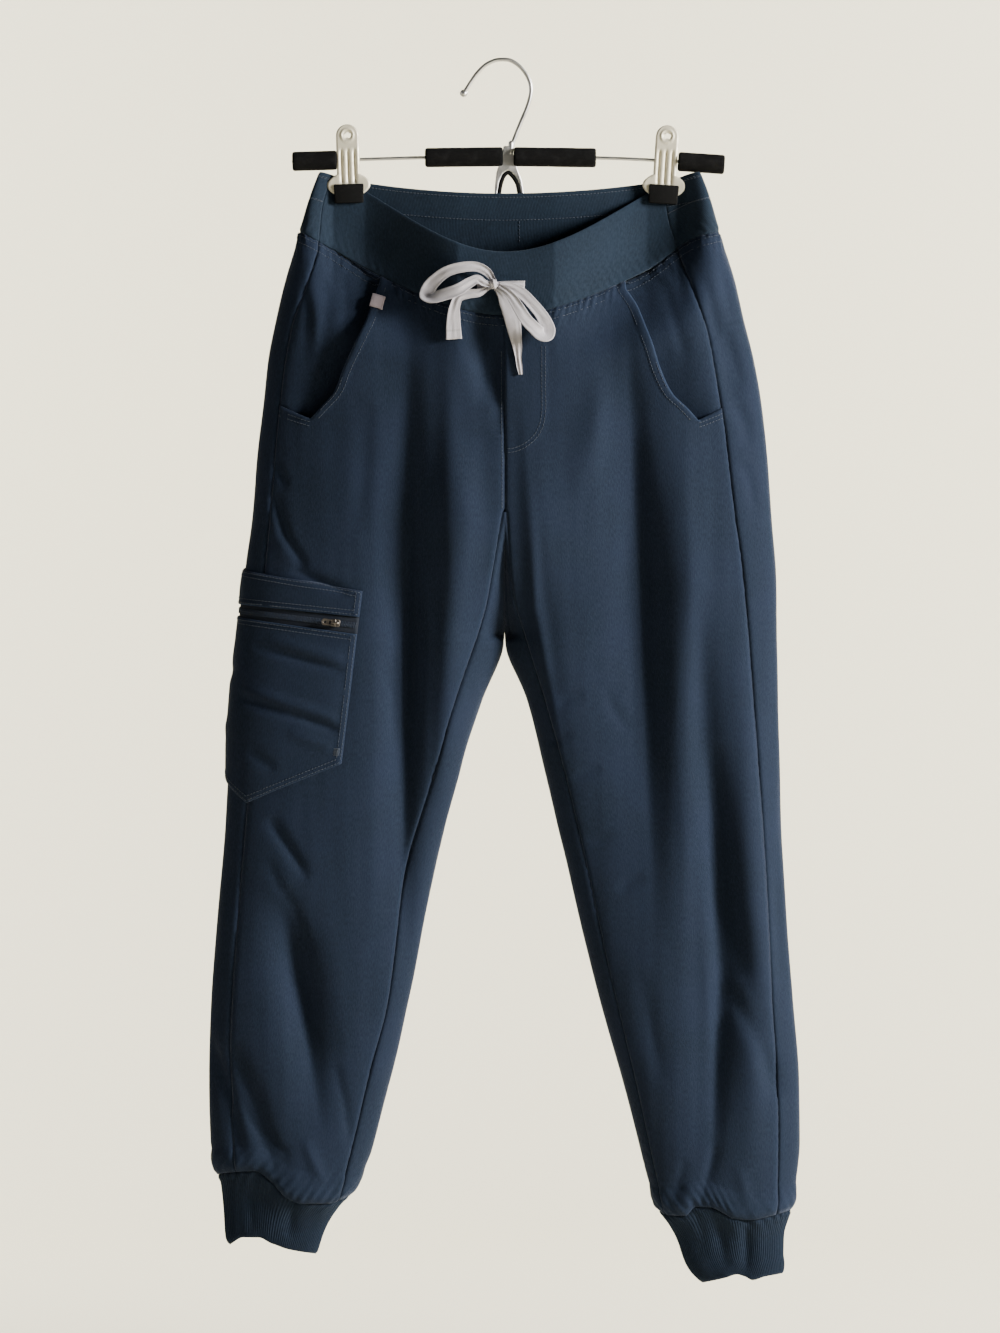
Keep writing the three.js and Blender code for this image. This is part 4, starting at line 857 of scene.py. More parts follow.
def knit_finish(name, colour, pitch, depth):
    """Rib knit: wales down the cloth, each a row of small stitches."""
    f = Finish(name)
    cut = f.places()
    wales = f.waves(cut, pitch, 0.25, 2)
    loops = f.waves(f.stretched(cut, turn=math.radians(90)), pitch * 0.55, 0.8, 4)
    fuzz = f.noise(f.stretched(cut, (1, 0.5, 1)), 0.0016, 3, 0.65)
    clouds = f.noise(cut, 0.04, 3, 0.55)
    base = f.blend(f.between(clouds, 0.35, 0.68), tint(colour, 0.92), tint(colour, 1.16))
    # Painted shade: the grooves between the wales are coloured darker.
    ribbed = f.blend(f.between(wales, 0.1, 0.9, 0.14, 0), base, tint(colour, 0.5))
    fuzzy = f.blend(f.between(fuzz, 0.4, 0.7, 0, 0.6), ribbed, tint(colour, 1.8))
    worn_and_shaded = f.blend(f.wear(), fuzzy, tint(colour, 2.6))
    height = f.math("ADD", wales, f.math("MULTIPLY", loops, 0.35))
    height = f.math("ADD", height, f.math("MULTIPLY", fuzz, 0.8))
    return f.shade(
        Base_Color=worn_and_shaded, Roughness=f.between(fuzz, 0.3, 0.7, 0.93, 0.8),
        Normal=f.bump(height, depth, 0.8), Specular_IOR_Level=0.2,
        Sheen_Weight=0.12, Sheen_Roughness=0.5, Sheen_Tint=(0.5, 0.62, 0.74),
    )


def tape_finish(name, colour, pitch, sheen=0.2):
    """Flat woven tape: a herringbone of fine threads, with painted shade in the weave's hollows."""
    f = Finish(name)
    cut = f.places()
    left = f.waves(f.stretched(cut, turn=math.radians(52)), pitch)
    right = f.waves(f.stretched(cut, turn=math.radians(-52)), pitch)
    weave = f.math("MAXIMUM", left, right)
    fuzz = f.noise(cut, 0.0012, 3, 0.6)
    clouds = f.noise(cut, 0.012, 2)
    base = f.blend(f.between(clouds, 0.35, 0.65), tint(colour, 0.88), tint(colour, 1.08))
    # Painted shade: the hollows of the weave are coloured darker.
    woven = f.blend(f.between(weave, 0.25, 1, 0.5, 0), base, tint(colour, 0.66, (1, 0.98, 1.02)))
    # The tape's per-vertex values darken it: painted shade where it is pinched into folds, darker
    # lines along its borders and across its hems, and the knot a little darker all over.
    worn_and_shaded = f.blend(f.wear(), woven, tint(colour, 0.62))
    height = f.math("ADD", weave, f.math("MULTIPLY", fuzz, 0.6))
    return f.shade(
        Base_Color=worn_and_shaded, Roughness=f.between(fuzz, 0.3, 0.7, 0.9, 0.76),
        Normal=f.bump(height, 0.00016, 0.8), Specular_IOR_Level=0.3,
        Sheen_Weight=sheen, Sheen_Roughness=0.5,
    )


def thread_finish(name, colour):
    """Twisted sewing thread."""
    f = Finish(name)
    places = f.object_places()
    twist = f.waves(f.stretched(places, turn=math.radians(38)), 0.0005)
    fuzz = f.noise(places, 0.004, 2)
    base = f.blend(f.between(fuzz, 0.3, 0.7), tint(colour, 0.72), tint(colour, 1.3))
    # Painted shade: the grooves of the twist are coloured darker.
    return f.shade(
        Base_Color=f.blend(f.between(twist, 0, 1, 0.4, 0), base, tint(colour, 0.5)),
        Roughness=f.between(fuzz, 0.3, 0.7, 0.5, 0.68), Normal=f.bump(twist, 0.00006, 0.6),
        Specular_IOR_Level=0.4, Sheen_Weight=0.15,
    )


def metal_finish(name, colour, roughness, scratches=0.5, grime=0.35, metallic=1.0):
    """Polished or plated metal with fine scratches and handling marks."""
    f = Finish(name)
    places = f.object_places()
    marks = f.noise(places, 0.008, 4, 0.6)
    lines = f.noise(f.stretched(places, (1, 1, 0.06)), 0.0006, 2)
    return f.shade(
        Base_Color=f.blend(f.between(marks, 0.45, 0.75, 0, grime), colour, tint(colour, 0.62)),
        Roughness=f.between(marks, 0.3, 0.75, roughness, roughness * 1.9),
        Normal=f.bump(lines, 0.00002, scratches), Metallic=metallic, Specular_IOR_Level=0.5,
    )


def foam_finish(name, colour):
    """Matt open-cell foam, dusty on its high places."""
    f = Finish(name)
    places = f.object_places()
    pores = f.noise(places, 0.0009, 3, 0.7)
    dust = f.noise(places, 0.009, 4, 0.65)
    return f.shade(
        Base_Color=f.blend(f.between(dust, 0.48, 0.8, 0, 0.8), colour, tint(colour, 3.4)),
        Roughness=f.between(pores, 0.3, 0.7, 1, 0.86), Normal=f.bump(pores, 0.00035, 0.9),
        Specular_IOR_Level=0.12,
    )


def rubber_finish(name, colour, roughness, shine=0.3):
    """Moulded rubber, a little scuffed."""
    f = Finish(name)
    places = f.object_places()
    scuffs = f.noise(places, 0.003, 4, 0.65)
    grain = f.noise(places, 0.0006, 2)
    return f.shade(
        Base_Color=f.blend(f.between(scuffs, 0.5, 0.8, 0, 0.7), colour, tint(colour, 3)),
        Roughness=f.between(scuffs, 0.3, 0.75, roughness, roughness + 0.3),
        Normal=f.bump(grain, 0.00006, 0.6), Specular_IOR_Level=shine,
    )


def backdrop_finish(name, colour):
    """Plain matt paint."""
    f = Finish(name)
    orange_peel = f.noise(f.object_places(), 0.004, 2)
    return f.shade(
        Base_Color=f.blend(f.between(orange_peel, 0.3, 0.7), tint(colour, 0.985), colour),
        Roughness=0.95, Normal=f.bump(orange_peel, 0.0003, 0.25), Specular_IOR_Level=0.1,
    )


finishes = {}


def finish_for(name):
    """One of the object's finishes, made the first time it is asked for."""
    if name not in finishes:
        cloth = bpy.context.scene.joggers_cloth
        hanger = bpy.context.scene.joggers_hanger
        makers = {
            "twill": lambda: twill_finish("navy_twill", cloth.twill, cloth.weave),
            "band": lambda: knit_finish("waist_knit", cloth.band, 0.0013, 0.0001),
            "rib": lambda: knit_finish("cuff_rib", cloth.rib, 0.0011, 0.0001),
            "thread": lambda: thread_finish("topstitch_thread", cloth.thread),
            "cord": lambda: tape_finish("drawcord_tape", cloth.cord, 0.0011),
            "label": lambda: tape_finish("label_cloth", cloth.label, 0.0007),
            "zip_tape": lambda: tape_finish("zip_tape", cloth.zip_tape, 0.0008, sheen=0.03),
            "zip_coil": lambda: rubber_finish("zip_coil", tint(cloth.zip_tape, 1.6), 0.4),
            "zip_metal": lambda: metal_finish("zip_metal", cloth.zip_metal, 0.3),
            "wire": lambda: metal_finish("hanger_wire", hanger.wire, 0.28),
            "yoke": lambda: metal_finish("hanger_yoke", hanger.wire, 0.34),
            "clip": lambda: metal_finish("clip_plate", hanger.clip, 0.36, 0.8, 0.25, 0.3),
            "foam": lambda: foam_finish("bar_foam", hanger.foam),
            "rubber": lambda: rubber_finish("clip_rubber", hanger.rubber, 0.7, 0.1),
        }
        finishes[name] = makers[name]()
    return finishes[name]


# Cloth pieces
from_outside = {}  # the cloth's finished faces, for sewing to be laid on
TWILL = ("twill", "cloth")


def stepped(*stops):
    """Levels from one stop to the next, each stop (level, spacing below it)."""
    levels = []
    for (level, spacing), (below, _) in zip(stops, stops[1:]):
        count = max(1, round((below - level) / spacing))
        levels.extend(np.linspace(level, below, count, endpoint=False))
    return np.array([*levels, stops[-1][0]])


def panel_levels(half):
    return stepped(
        (WAIST_DROP, 1.6), (WAIST_DROP + 16, CELL), (POCKET_END_DROP, CELL), (FORK_DROP, CELL),
        (BACK_FORK_DROP, CELL), (CROTCH_DROP, CELL), (HEM_START_DROP, CELL),
        (half.hem_level - 26, 1.9), (half.hem_level, 1),
    )


def row_turns(half, levels, start, end, count):
    """Turns for each row between two edges."""
    pairs = zip(levels, start, end)
    return np.array([spread_turns(half, level, a, b, count) for level, a, b in pairs])


def hollow(distance, width, depth):
    """A groove along an edge."""
    return -depth * bell(distance, 0, width)


def drape(points, seed=0.0):
    """The cloth's own unevenness: broad soft waves and long faint streaks down it."""
    x, y, z = points[..., 0], points[..., 1], points[..., 2]
    broad = ripple(x, y, z * 0.6, 46, 3 + seed)
    streaks = ripple(x, y, z * 0.12, 11, 9 + seed)
    return 0.75 * broad + 0.34 * streaks


def puckers(along, away, size, depth, reach, seed):
    """Small gathers along a seam, dying out away from it."""
    lumps = ripple(along, away * 0.28, seed, size, seed)
    uneven = ripple(along, 0, seed, size * 4, seed + 5)
    ropes = np.sin(2 * np.pi * (along + 0.5 * away) / size + 5 * uneven)
    ropes = ropes * (0.35 + 0.8 * clamp01(0.5 + 1.4 * uneven))
    return depth * (0.9 * lumps + 0.55 * ropes) * np.exp(-((away / reach) ** 1.3))


def side_seam_lift(along, away, depth, seed):
    """The groove of a seam down the leg and its gathers."""
    return hollow(away, 1.4, 0.9) + puckers(along, away, 9, depth, 9, seed)


def waist_seam_lift(along, below_waist, depth, seed):
    return hollow(below_waist, 1.8, 1.1) + puckers(along, below_waist, 6.5, depth, 13, seed)


def hem_lift(along, above_hem, seed):
    """The leg's fullness over its cuff, and the gathers of the seam between them."""
    full = 1.9 * np.sin(np.pi * clamp01(above_hem / 24)) - 1.6 * (1 - smooth(0, 5, above_hem))
    return full + puckers(along, above_hem, 8.5, 1.7, 13, seed) * smooth(0, 3, above_hem)


def cloth_piece(name, node, cloth, points, normals, wall, cells, wear):
    """A shell of twill or knit, its flat places measured on its outer face."""
    finish, slot = cloth
    cut = flat_cut(points)
    mesh = shell_mesh(name, points, normals, wall, cells, cut, wear)
    return finish_cloth(mesh, finish, node)


def finish_cloth(mesh, finish, node):
    """Places a cloth piece and notes it for the sewing."""
    piece = place_object(mesh.name, mesh, finish)
    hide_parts(node)
    from_outside[mesh.name] = cloth_tree(mesh)
    return piece


def cloth_tree(mesh):
    points = np.zeros(len(mesh.vertices) * 3)
    mesh.vertices.foreach_get("co", points)
    points = (points.reshape(-1, 3) / MM).tolist()
    return BVHTree.FromPolygons(points, [p.vertices for p in mesh.polygons])


def front_panel(half):
    """The front of one leg, from the waist seam to the cuff, with its turned pocket mouth."""
    main, hip = 66, 13
    levels = panel_levels(half)
    start = turn_at_x(half, levels, half.inseam(levels))
    start = np.where(levels < FORK_DROP, 0, start)
    mouth = POCKET_TURNS[half.letter](np.minimum(levels, POCKET_END_DROP))
    side = side_turn(half, levels)
    edge = np.where(levels <= POCKET_END_DROP, mouth, mix(mouth, side, 0.1))
    edge = np.minimum(edge, side - 0.06)
    turns = np.concatenate([
        row_turns(half, levels, start, edge, main),
        row_turns(half, levels, edge, side, hip)[:, 1:],
    ], axis=1)
    columns = main + hip + 1
    grid = np.repeat(levels[:, None], columns, axis=1)
    # the cloth beside the mouth's foot rises towards the side seam
    rise = np.concatenate([np.zeros(main + 1), np.linspace(0, 9, hip + 1)[1:]])
    near_foot = (1 - smooth(POCKET_END_DROP, POCKET_END_DROP + 40, grid)) * (grid >= POCKET_END_DROP)
    grid = grid - rise * near_foot
    points, normals = surface_frame(half, grid, turns)
    from_middle, _ = edge_lengths(points)
    from_mouth = np.abs(from_middle[:, main:main + 1] - from_middle)
    to_side = from_middle[:, -1:] - from_middle
    below_waist, above_hem = grid - WAIST_DROP, half.hem_level - grid
    at_mouth = (levels <= POCKET_END_DROP)[:, None]
    lift = mouth_lift(half, grid, turns)
    lift += np.where(at_mouth, 0.55 * (1 - smooth(5.6, 7.4, from_mouth)), 0)
    lift += np.where(at_mouth, hollow(from_mouth, 0.9, 0.5), 0)
    foot = np.abs(grid - POCKET_END_DROP + rise)
    lift += np.where((np.arange(columns) > main) & ~at_mouth, hollow(foot, 1.2, 0.5), 0)
    lift += drape(points) * smooth(0, 12, below_waist)
    lift += waist_seam_lift(from_middle, below_waist, 1.9, 21)
    lift += np.where(at_mouth, 0, side_seam_lift(grid, to_side, 0.45, 27))
    lift += side_seam_lift(grid, from_middle, 0.4, 29)
    lift += hem_lift(from_middle, above_hem, 33)
    if half is LEFT:
        lift += 0.5 * fly_shape(points)
    points = points + normals * lift[..., None]
    is_cloth = (np.arange(columns - 1) < main) | (levels[:-1, None] >= POCKET_END_DROP - 0.5)
    wear = np.where(at_mouth, bell(from_mouth, 0, 0.8) * 0.8, 0)
    wear = np.maximum(wear, 0.14 * bell(above_hem, 9, 7))
    wear = np.maximum(wear, 0.12 * bell(np.minimum(from_middle, to_side), 2.2, 0.9))
    cells = plain_cells(grid.shape, is_cloth)
    return cloth_piece(f"leg_front_{half.name}", f"front_{half.name}", TWILL, points, normals,
                       PANEL_WALL, cells, wear)


FLY = {"width": 35.6, "straight": 310, "foot": 345}


def fly_edge(drop):
    """The outer stitching of the mock fly: straight, then curving in to the middle seam."""
    t = clamp01((drop - FLY["straight"]) / (FLY["foot"] - FLY["straight"]))
    return FLY["width"] * np.maximum(1 - t**2.6, 0) ** 0.5


def fly_shape(points):
    drop = -points[..., 2]
    inside = fly_edge(drop) + 2 - points[..., 0]
    return smooth(0, 2.5, inside) * (1 - smooth(FLY["foot"], FLY["foot"] + 2, drop))


def back_panel(half):
    """The back of one leg: round from the side seam, past the inner fold, to the inseam."""
    main, fork = 80, 13
    levels = panel_levels(half)
    side = side_turn(half, levels)
    inseam = turn_at_x(half, levels, half.inseam(levels))
    turns = np.concatenate([
        row_turns(half, levels, side, np.full(len(levels), 2.0), main),
        inseam[:, None] * np.linspace(0, 1, fork + 1),
    ], axis=1)
    columns = main + fork + 2
    grid = np.repeat(levels[:, None], columns, axis=1)
    points, normals = surface_frame(half, grid, turns)
    welded = levels >= CROTCH_DROP - 0.5
    points[welded, main + 1], normals[welded, main + 1] = points[welded, main], normals[welded, main]
    from_side, to_end = edge_lengths(points)
    to_middle = np.abs(from_side[:, main:main + 1] - from_side)
    to_middle = np.where(levels[:, None] < CROTCH_DROP, to_middle, FAR)
    below_waist, above_hem = grid - WAIST_DROP, half.hem_level - grid
    is_fork = np.arange(columns) > main
    to_inseam = np.where(is_fork | (levels[:, None] > CROTCH_DROP), to_end, FAR)
    lift = drape(points, 40) * smooth(0, 12, below_waist)
    lift += waist_seam_lift(from_side, below_waist, 1.9, 51)
    for away, depth, seed in ((from_side, 0.45, 57), (to_middle, 0.5, 61), (to_inseam, 0.4, 63)):
        lift += side_seam_lift(grid, away, depth, seed)
    lift += hem_lift(from_side, above_hem, 67)
    share = np.linspace(0, 1, fork + 1)
    cleft = smooth(FORK_DROP, FORK_DROP + 60, grid[:, main + 1:]) * (1 - share) ** 1.5
    lift[:, main + 1:] -= np.where(welded[:, None], 0, 7 * cleft)
    lift[welded, main + 1] = lift[welded, main]
    points = points + normals * lift[..., None]
    points[~welded, main + 1, 0] = 0
    ids = np.arange(len(levels) * columns).reshape(len(levels), columns)
    ids[welded, main + 1] = ids[welded, main]
    across = np.arange(columns - 1)
    is_cloth = (across < main) | ((across > main) & (levels[:-1, None] >= FORK_DROP - 0.5))
    wear = 0.14 * bell(above_hem, 9, 7)
    wear = np.maximum(wear, 0.12 * bell(np.minimum(from_side, to_middle), 2.2, 0.9))
    return cloth_piece(f"leg_back_{half.name}", f"back_{half.name}", TWILL, points, normals,
                       PANEL_WALL, grid_cells(ids, is_cloth), wear)


def hip_cloth(half):
    """The cloth behind the slanted mouth, seen inside the pocket."""
    columns = 30
    levels = stepped((WAIST_DROP, 1.6), (WAIST_DROP + 16, CELL), (POCKET_END_DROP + 10, 1))
    mouth = POCKET_TURNS[half.letter](np.minimum(levels, POCKET_END_DROP))
    side = side_turn(half, levels)
    turns = row_turns(half, levels, mouth - 0.09, side, columns)
    grid = np.repeat(levels[:, None], columns + 1, axis=1)
    points, normals = surface_frame(half, grid, turns)
    from_front, to_side = edge_lengths(points)
    below_waist = grid - WAIST_DROP
    share = np.linspace(0, 1, columns + 1)
    under = mix(4.5, 9.5, smooth(WAIST_DROP + 15, POCKET_END_DROP - 50, grid))
    sink = under * (1 - smooth(0.25, 0.95, share))
    sink = np.maximum(sink, 1.9 * smooth(POCKET_END_DROP - 12, POCKET_END_DROP - 2, grid))
    lift = drape(points, 20) * smooth(0, 12, below_waist) - sink
    lift += waist_seam_lift(from_front, below_waist, 1.7, 71)
    lift += side_seam_lift(grid, to_side, 0.45, 73)
    points = points + normals * lift[..., None]
    wear = 0.12 * bell(to_side, 2.2, 0.9)
    return cloth_piece(f"hip_cloth_{half.name}", f"pocket_bearer_{half.name}", TWILL, points,
                       normals, PANEL_WALL, plain_cells(grid.shape), wear)


def waistband(face):
    """One face of the knit band, from side seam to side seam."""
    columns = 104
    levels = stepped((RIM_DROP, 0.8), (RIM_DROP + 4, 2.2), (WAIST_DROP - 8, 1.3), (WAIST_DROP, 1))
    parts = []
    for half in (RIGHT, LEFT):
        side = side_turn(half, levels)
        ends = (side * 0, side) if face == "front" else (side, side * 0 + 2)
        turns = row_turns(half, levels, *ends, columns)
        grid = np.repeat(levels[:, None], columns + 1, axis=1)
        points, normals = surface_frame(half, grid, turns)
        if (face == "front") != (half is LEFT):
            points, normals = points[:, ::-1], normals[:, ::-1]
        parts.append((points, normals))
    (right, right_out), (left, left_out) = parts
    right[:, -1, 0] = 0
    right_out[:, -1, 0] = 0
    points = np.concatenate([right, left[:, 1:]], axis=1)
    normals = unit(np.concatenate([right_out, left_out[:, 1:]], axis=1))
    grid = np.repeat(levels[:, None], points.shape[1], axis=1)
    from_right, to_left = edge_lengths(points)
    to_side = np.minimum(from_right, to_left)
    below_rim, above_seam = grid - RIM_DROP, WAIST_DROP - grid
    lift = 0.5 * drape(points, 80) * smooth(0, 8, below_rim)
    lift += hollow(below_rim, 1.1, 0.75) + hollow(above_seam, 1.8, 1.0) + hollow(to_side, 1.2, 0.7)
    lift += puckers(from_right, above_seam, 8, 1.0, 12, 81) * smooth(0, 3, above_seam)
    tunnel = smooth(21.5, 24, below_rim) - smooth(24, 26.5, below_rim)
    lift -= 0.35 * tunnel
    free = 1 - nip_at(points[..., 0], grid)
    points = points + normals * (lift * mix(0.35, 1, free))[..., None]
    wall = BAND_WALL * (1 - 0.8 * bell(below_rim, 0, 0.9))
    wear = 0.16 * bell(below_rim, 0.4, 0.9)
    return cloth_piece(f"waistband_{face}_knit", f"waistband_{face}", ("band", "band_cloth"),
                       points, normals, wall, plain_cells(grid.shape), wear)


CUFF_RIBS = 112  # fine ribs round a cuff


def cuff_angles(half, count):
    """Even spacing along the flat oval of a cuff."""
    angles = np.linspace(0, 2 * np.pi, 1441)
    rows = CUFF_OUTLINES[half.letter]
    wide = (rows["outer"][2] - rows["inner"][2]) / 2
    steps = np.hypot(np.sin(angles) * wide, np.cos(angles) * rows["depth"][2])
    reach = np.concatenate([[0], np.cumsum((steps[1:] + steps[:-1]) / 2)])
    return np.interp(np.linspace(0, reach[-1], count, endpoint=False), reach, angles)


def cuff_place(half, down, angle):
    rows = CUFF_OUTLINES[half.letter]
    outer = Curve(rows, "down", "outer")(down)
    inner = Curve(rows, "down", "inner")(down)
    depth = Curve(rows, "down", "depth")(down)
    across = (1 - np.cos(angle)) / 2
    radius = (outer - inner) / 2
    x = outer - radius * (1 - signed_power(np.cos(angle), 0.92))
    y = -depth * signed_power(np.sin(angle), 0.92)
    drop = mix(half.cuff_seam(across), half.cuff_hem(across), down)
    normal = np.stack([half.sign * np.cos(angle) / radius, -np.sin(angle) / depth, down * 0], axis=-1)
    return np.stack([half.sign * x, y, -drop], axis=-1), unit(normal)


def cuff(half):
    """A rib-knit cuff, folded at its hem and drawn in at its seam."""
    per_rib, rows = 4, 30
    around = CUFF_RIBS * per_rib
    angle = cuff_angles(half, around)
    down = np.concatenate([np.linspace(0, 0.1, 5)[:-1], np.linspace(0.1, 0.95, rows - 9),
                           np.linspace(0.95, 1, 6)[1:]])
    grid_down, grid_angle = np.meshgrid(down, angle, indexing="ij")
    points, normals = cuff_place(half, grid_down, grid_angle)
    phase = np.arange(around) / per_rib * 2 * np.pi
    height = np.linalg.norm(points[-1] - points[0], axis=-1)
    from_seam, to_hem = grid_down * height, (1 - grid_down) * height
    ribs = 0.3 * np.cos(phase) * smooth(0, 3, from_seam) * (0.35 + 0.65 * smooth(0, 4, to_hem))
    lift = ribs + hollow(from_seam, 2, 1.4) + hollow(to_hem, 1.2, 0.8)
    lift += 0.9 * ripple(points[..., 0], points[..., 1] * 2, points[..., 2] * 0.5, 17, 91)
    lift += puckers(grid_angle * 36, from_seam, 7, 0.9, 8, 93)
    points = points + normals * (lift + cuff_creases(half, points))[..., None]
    ids = np.arange(points.shape[0] * around).reshape(-1, around)
    ids = np.concatenate([ids, ids[:, :1]], axis=1)
    round_cuff = np.linalg.norm(np.diff(points[10], axis=0), axis=-1).sum()
    flat_across = np.broadcast_to(np.arange(around) / around * round_cuff, ribs.shape)
    cut = np.stack([flat_across, from_seam, ribs * 0], axis=-1)
    wall = CUFF_WALL * (1 - 0.7 * bell(to_hem, 0, 1.1))
    wear = 0.12 * bell(to_hem, 0, 1.5)
    mesh = shell_mesh(f"cuff_rib_{half.name}", points, normals, wall, grid_cells(ids), cut, wear)
    return finish_cloth(mesh, "rib", f"cuff_{half.name}")


CUFF_CREASES = {
    "R": ((178, 985, 186, 1010, 190, 1034, 6, -2.2), (226, 990, 222, 1012, 220, 1030, 7, -1.4)),
    "L": ((212, 1014, 213, 1040, 212, 1068, 6, -2.6), (184, 1012, 190, 1036, 196, 1062, 6, -1.8)),
}


def cuff_creases(half, points):
    """Soft folds down the front and back of a cuff."""
    height = np.zeros(points.shape[:-1])
    for values in CUFF_CREASES[half.letter]:
        row = dict(zip(FOLD_COLUMNS, values))
        height += fold_shape(row, np.abs(points[..., 0]), -points[..., 2])
    return height * np.where(points[..., 1] < 0, 1, 0.6)


# Cargo pocket on the right thigh, centred on the side seam
#
# "across" runs from its front edge (-1) over the side seam (0) to its back edge (1).
CARGO = {"top_half": 90, "foot_half": 80, "top": 451, "zip_top": 480, "zip_foot": 491.5,
         "foot": 651.6, "point": 48}
CARGO_TILT = {"top": 15, "zip_top": 9, "zip_foot": 12, "foot": 13.5}
BAG_HALF = 85  # half the bag's usual width
TAPE_STAND = 2
PANEL_STAND = 3


def cargo_top(across):
    return CARGO["top"] - CARGO_TILT["top"] * across


def zip_top(across):
    return CARGO["zip_top"] - CARGO_TILT["zip_top"] * across


def zip_foot(across):
    return CARGO["zip_foot"] - CARGO_TILT["zip_foot"] * across


def zip_middle(across):
    return (zip_top(across) + zip_foot(across)) / 2


def cargo_foot(across):
    return CARGO["foot"] - CARGO["point"] * np.abs(across) - CARGO_TILT["foot"] * across


def cargo_turns(across, drop):
    """The turn on the right leg of a place on the pocket."""
    most = 240
    steps = np.arange(-most, most + 1) * 0.004
    side = side_turn(RIGHT, drop)
    turns = side[..., None] + steps
    x, y, _, _ = section(RIGHT, drop[..., None], turns)
    lengths = np.hypot(np.diff(x, axis=-1), np.diff(y, axis=-1))
    reach = np.concatenate([np.zeros(lengths.shape[:-1] + (1,)), np.cumsum(lengths, -1)], -1)
    reach -= reach[..., most:most + 1]
    down = clamp01((drop - CARGO["top"]) / (CARGO["foot"] - CARGO["top"]))
    wanted = across * mix(CARGO["top_half"], CARGO["foot_half"], down)
    rows = zip(wanted.ravel(), reach.reshape(-1, len(steps)), turns.reshape(-1, len(steps)))
    found = [np.interp(far, at, turn) for far, at, turn in rows]
    return np.array(found).reshape(drop.shape)


def cargo_place(across, drop, stand):
    points, normals = surface_frame(RIGHT, drop, cargo_turns(across, drop))
    return points + normals * np.asarray(stand)[..., None], normals


# Creases in the bag: from and to (across, drop), half width and height.
BAG_CREASES = (
    (-0.99, 538, 0.04, 514, 3.4, -2.8),
    (-0.95, 529, -0.1, 506, 5, 1.6),
    (-1.0, 590, -0.4, 573, 4, -3.4),
    (-0.5, 576, 0.16, 559, 4, -3),
    (-0.95, 580, 0.1, 552, 5, 2.2),
    (-0.9, 604, -0.4, 590, 5, 1.6),
    (-0.3, 622, 0.02, 606, 5, -1.6),
    (0.2, 530, 0.7, 556, 6, -2.2),
    (0.3, 590, 0.75, 560, 6, 1.8),
)


def bag_creases(across, drop):
    height = np.zeros(across.shape)
    for a0, d0, a1, d1, width, rise in BAG_CREASES:
        away, along = near_line(a0 * BAG_HALF, d0, a1 * BAG_HALF, d1, across * BAG_HALF, drop)
        height += rise * bell(away, 0, width) * np.sin(np.pi * along) ** 0.6
    return height


def cargo_panel(name, top, foot, rows, bulge, creased):
    """A cloth piece of the pocket between two of its lines, sewn down along its edges."""
    columns = 64
    across = np.linspace(-1, 1, columns + 1)
    down = np.linspace(0, 1, rows + 1)
    down = mix(down, (1 - np.cos(np.pi * down)) / 2, 0.45)
    grid_down, grid_across = np.meshgrid(down, across, indexing="ij")
    drop = mix(top(grid_across), foot(grid_across), grid_down)
    points, normals = cargo_place(grid_across, drop, PANEL_STAND)
    from_front, to_back = edge_lengths(points)
    from_top, to_foot = edge_lengths(np.swapaxes(points, 0, 1))
    from_top, to_foot = from_top.T, to_foot.T
    crown = (1 - grid_across**2) * np.sin(np.pi * grid_down)
    lift = bulge * crown + 0.6 * ripple(*np.moveaxis(points, -1, 0), 34, 111)
    sides = np.minimum(from_front, to_back)
    edge = np.minimum(sides, to_foot)
    if creased:
        lift += bag_creases(grid_across, drop) * smooth(2, 16, edge)
    lift *= smooth(0, 14, np.minimum(sides, np.minimum(from_top, to_foot) + 4))
    lip, sewn = (from_top, to_foot) if creased else (to_foot, from_top)
    lift += hollow(sides, 2, 1) + hollow(sewn, 2, 1) + 0.35 * bell(sides, 4.4, 1.6)
    lift += puckers(drop + from_front * 0.4, sides, 8, 0.5, 9, 113)
    lift += 0.4 * bell(lip, 1.2, 1.4)
    points = points + normals * lift[..., None]
    wear = np.maximum(0.6 * bell(lip, 0, 0.8), 0.22 * bell(edge, 0, 1.2))
    return cloth_piece(name, name.replace("_cloth", ""), TWILL, points, normals, POCKET_WALL,
                       plain_cells(drop.shape), wear)


def zip_tape():
    """The woven tape that shows between the pocket's lips."""
    columns, rows = 64, 8
    grid_down, across = np.meshgrid(np.linspace(0, 1, rows + 1), np.linspace(-1, 1, columns + 1),
                                    indexing="ij")
    drop = mix(zip_top(across) - 1.5, zip_foot(across) + 1.5, grid_down)
    dip = 0.5 * np.abs(2 * grid_down - 1) ** 3 + 0.25
    points, normals = cargo_place(across, drop, TAPE_STAND - 0.25 - dip)
    return cloth_piece("zip_tape", "cargo_zip_tape", ("zip_tape", "zip_tape"), points, normals,
                       0.7, plain_cells(drop.shape), None)


# Solid shapes


def joined_mesh(name, parts):
    """One mesh of several (points, faces) parts, in millimetres."""
    points, faces, start = [], [], 0
    for part_points, part_faces in parts:
        points.append(np.asarray(part_points, float))
        faces.extend([[start + i for i in face] for face in part_faces])
        start += len(part_points)
    return mesh_from(name, np.concatenate(points), faces)


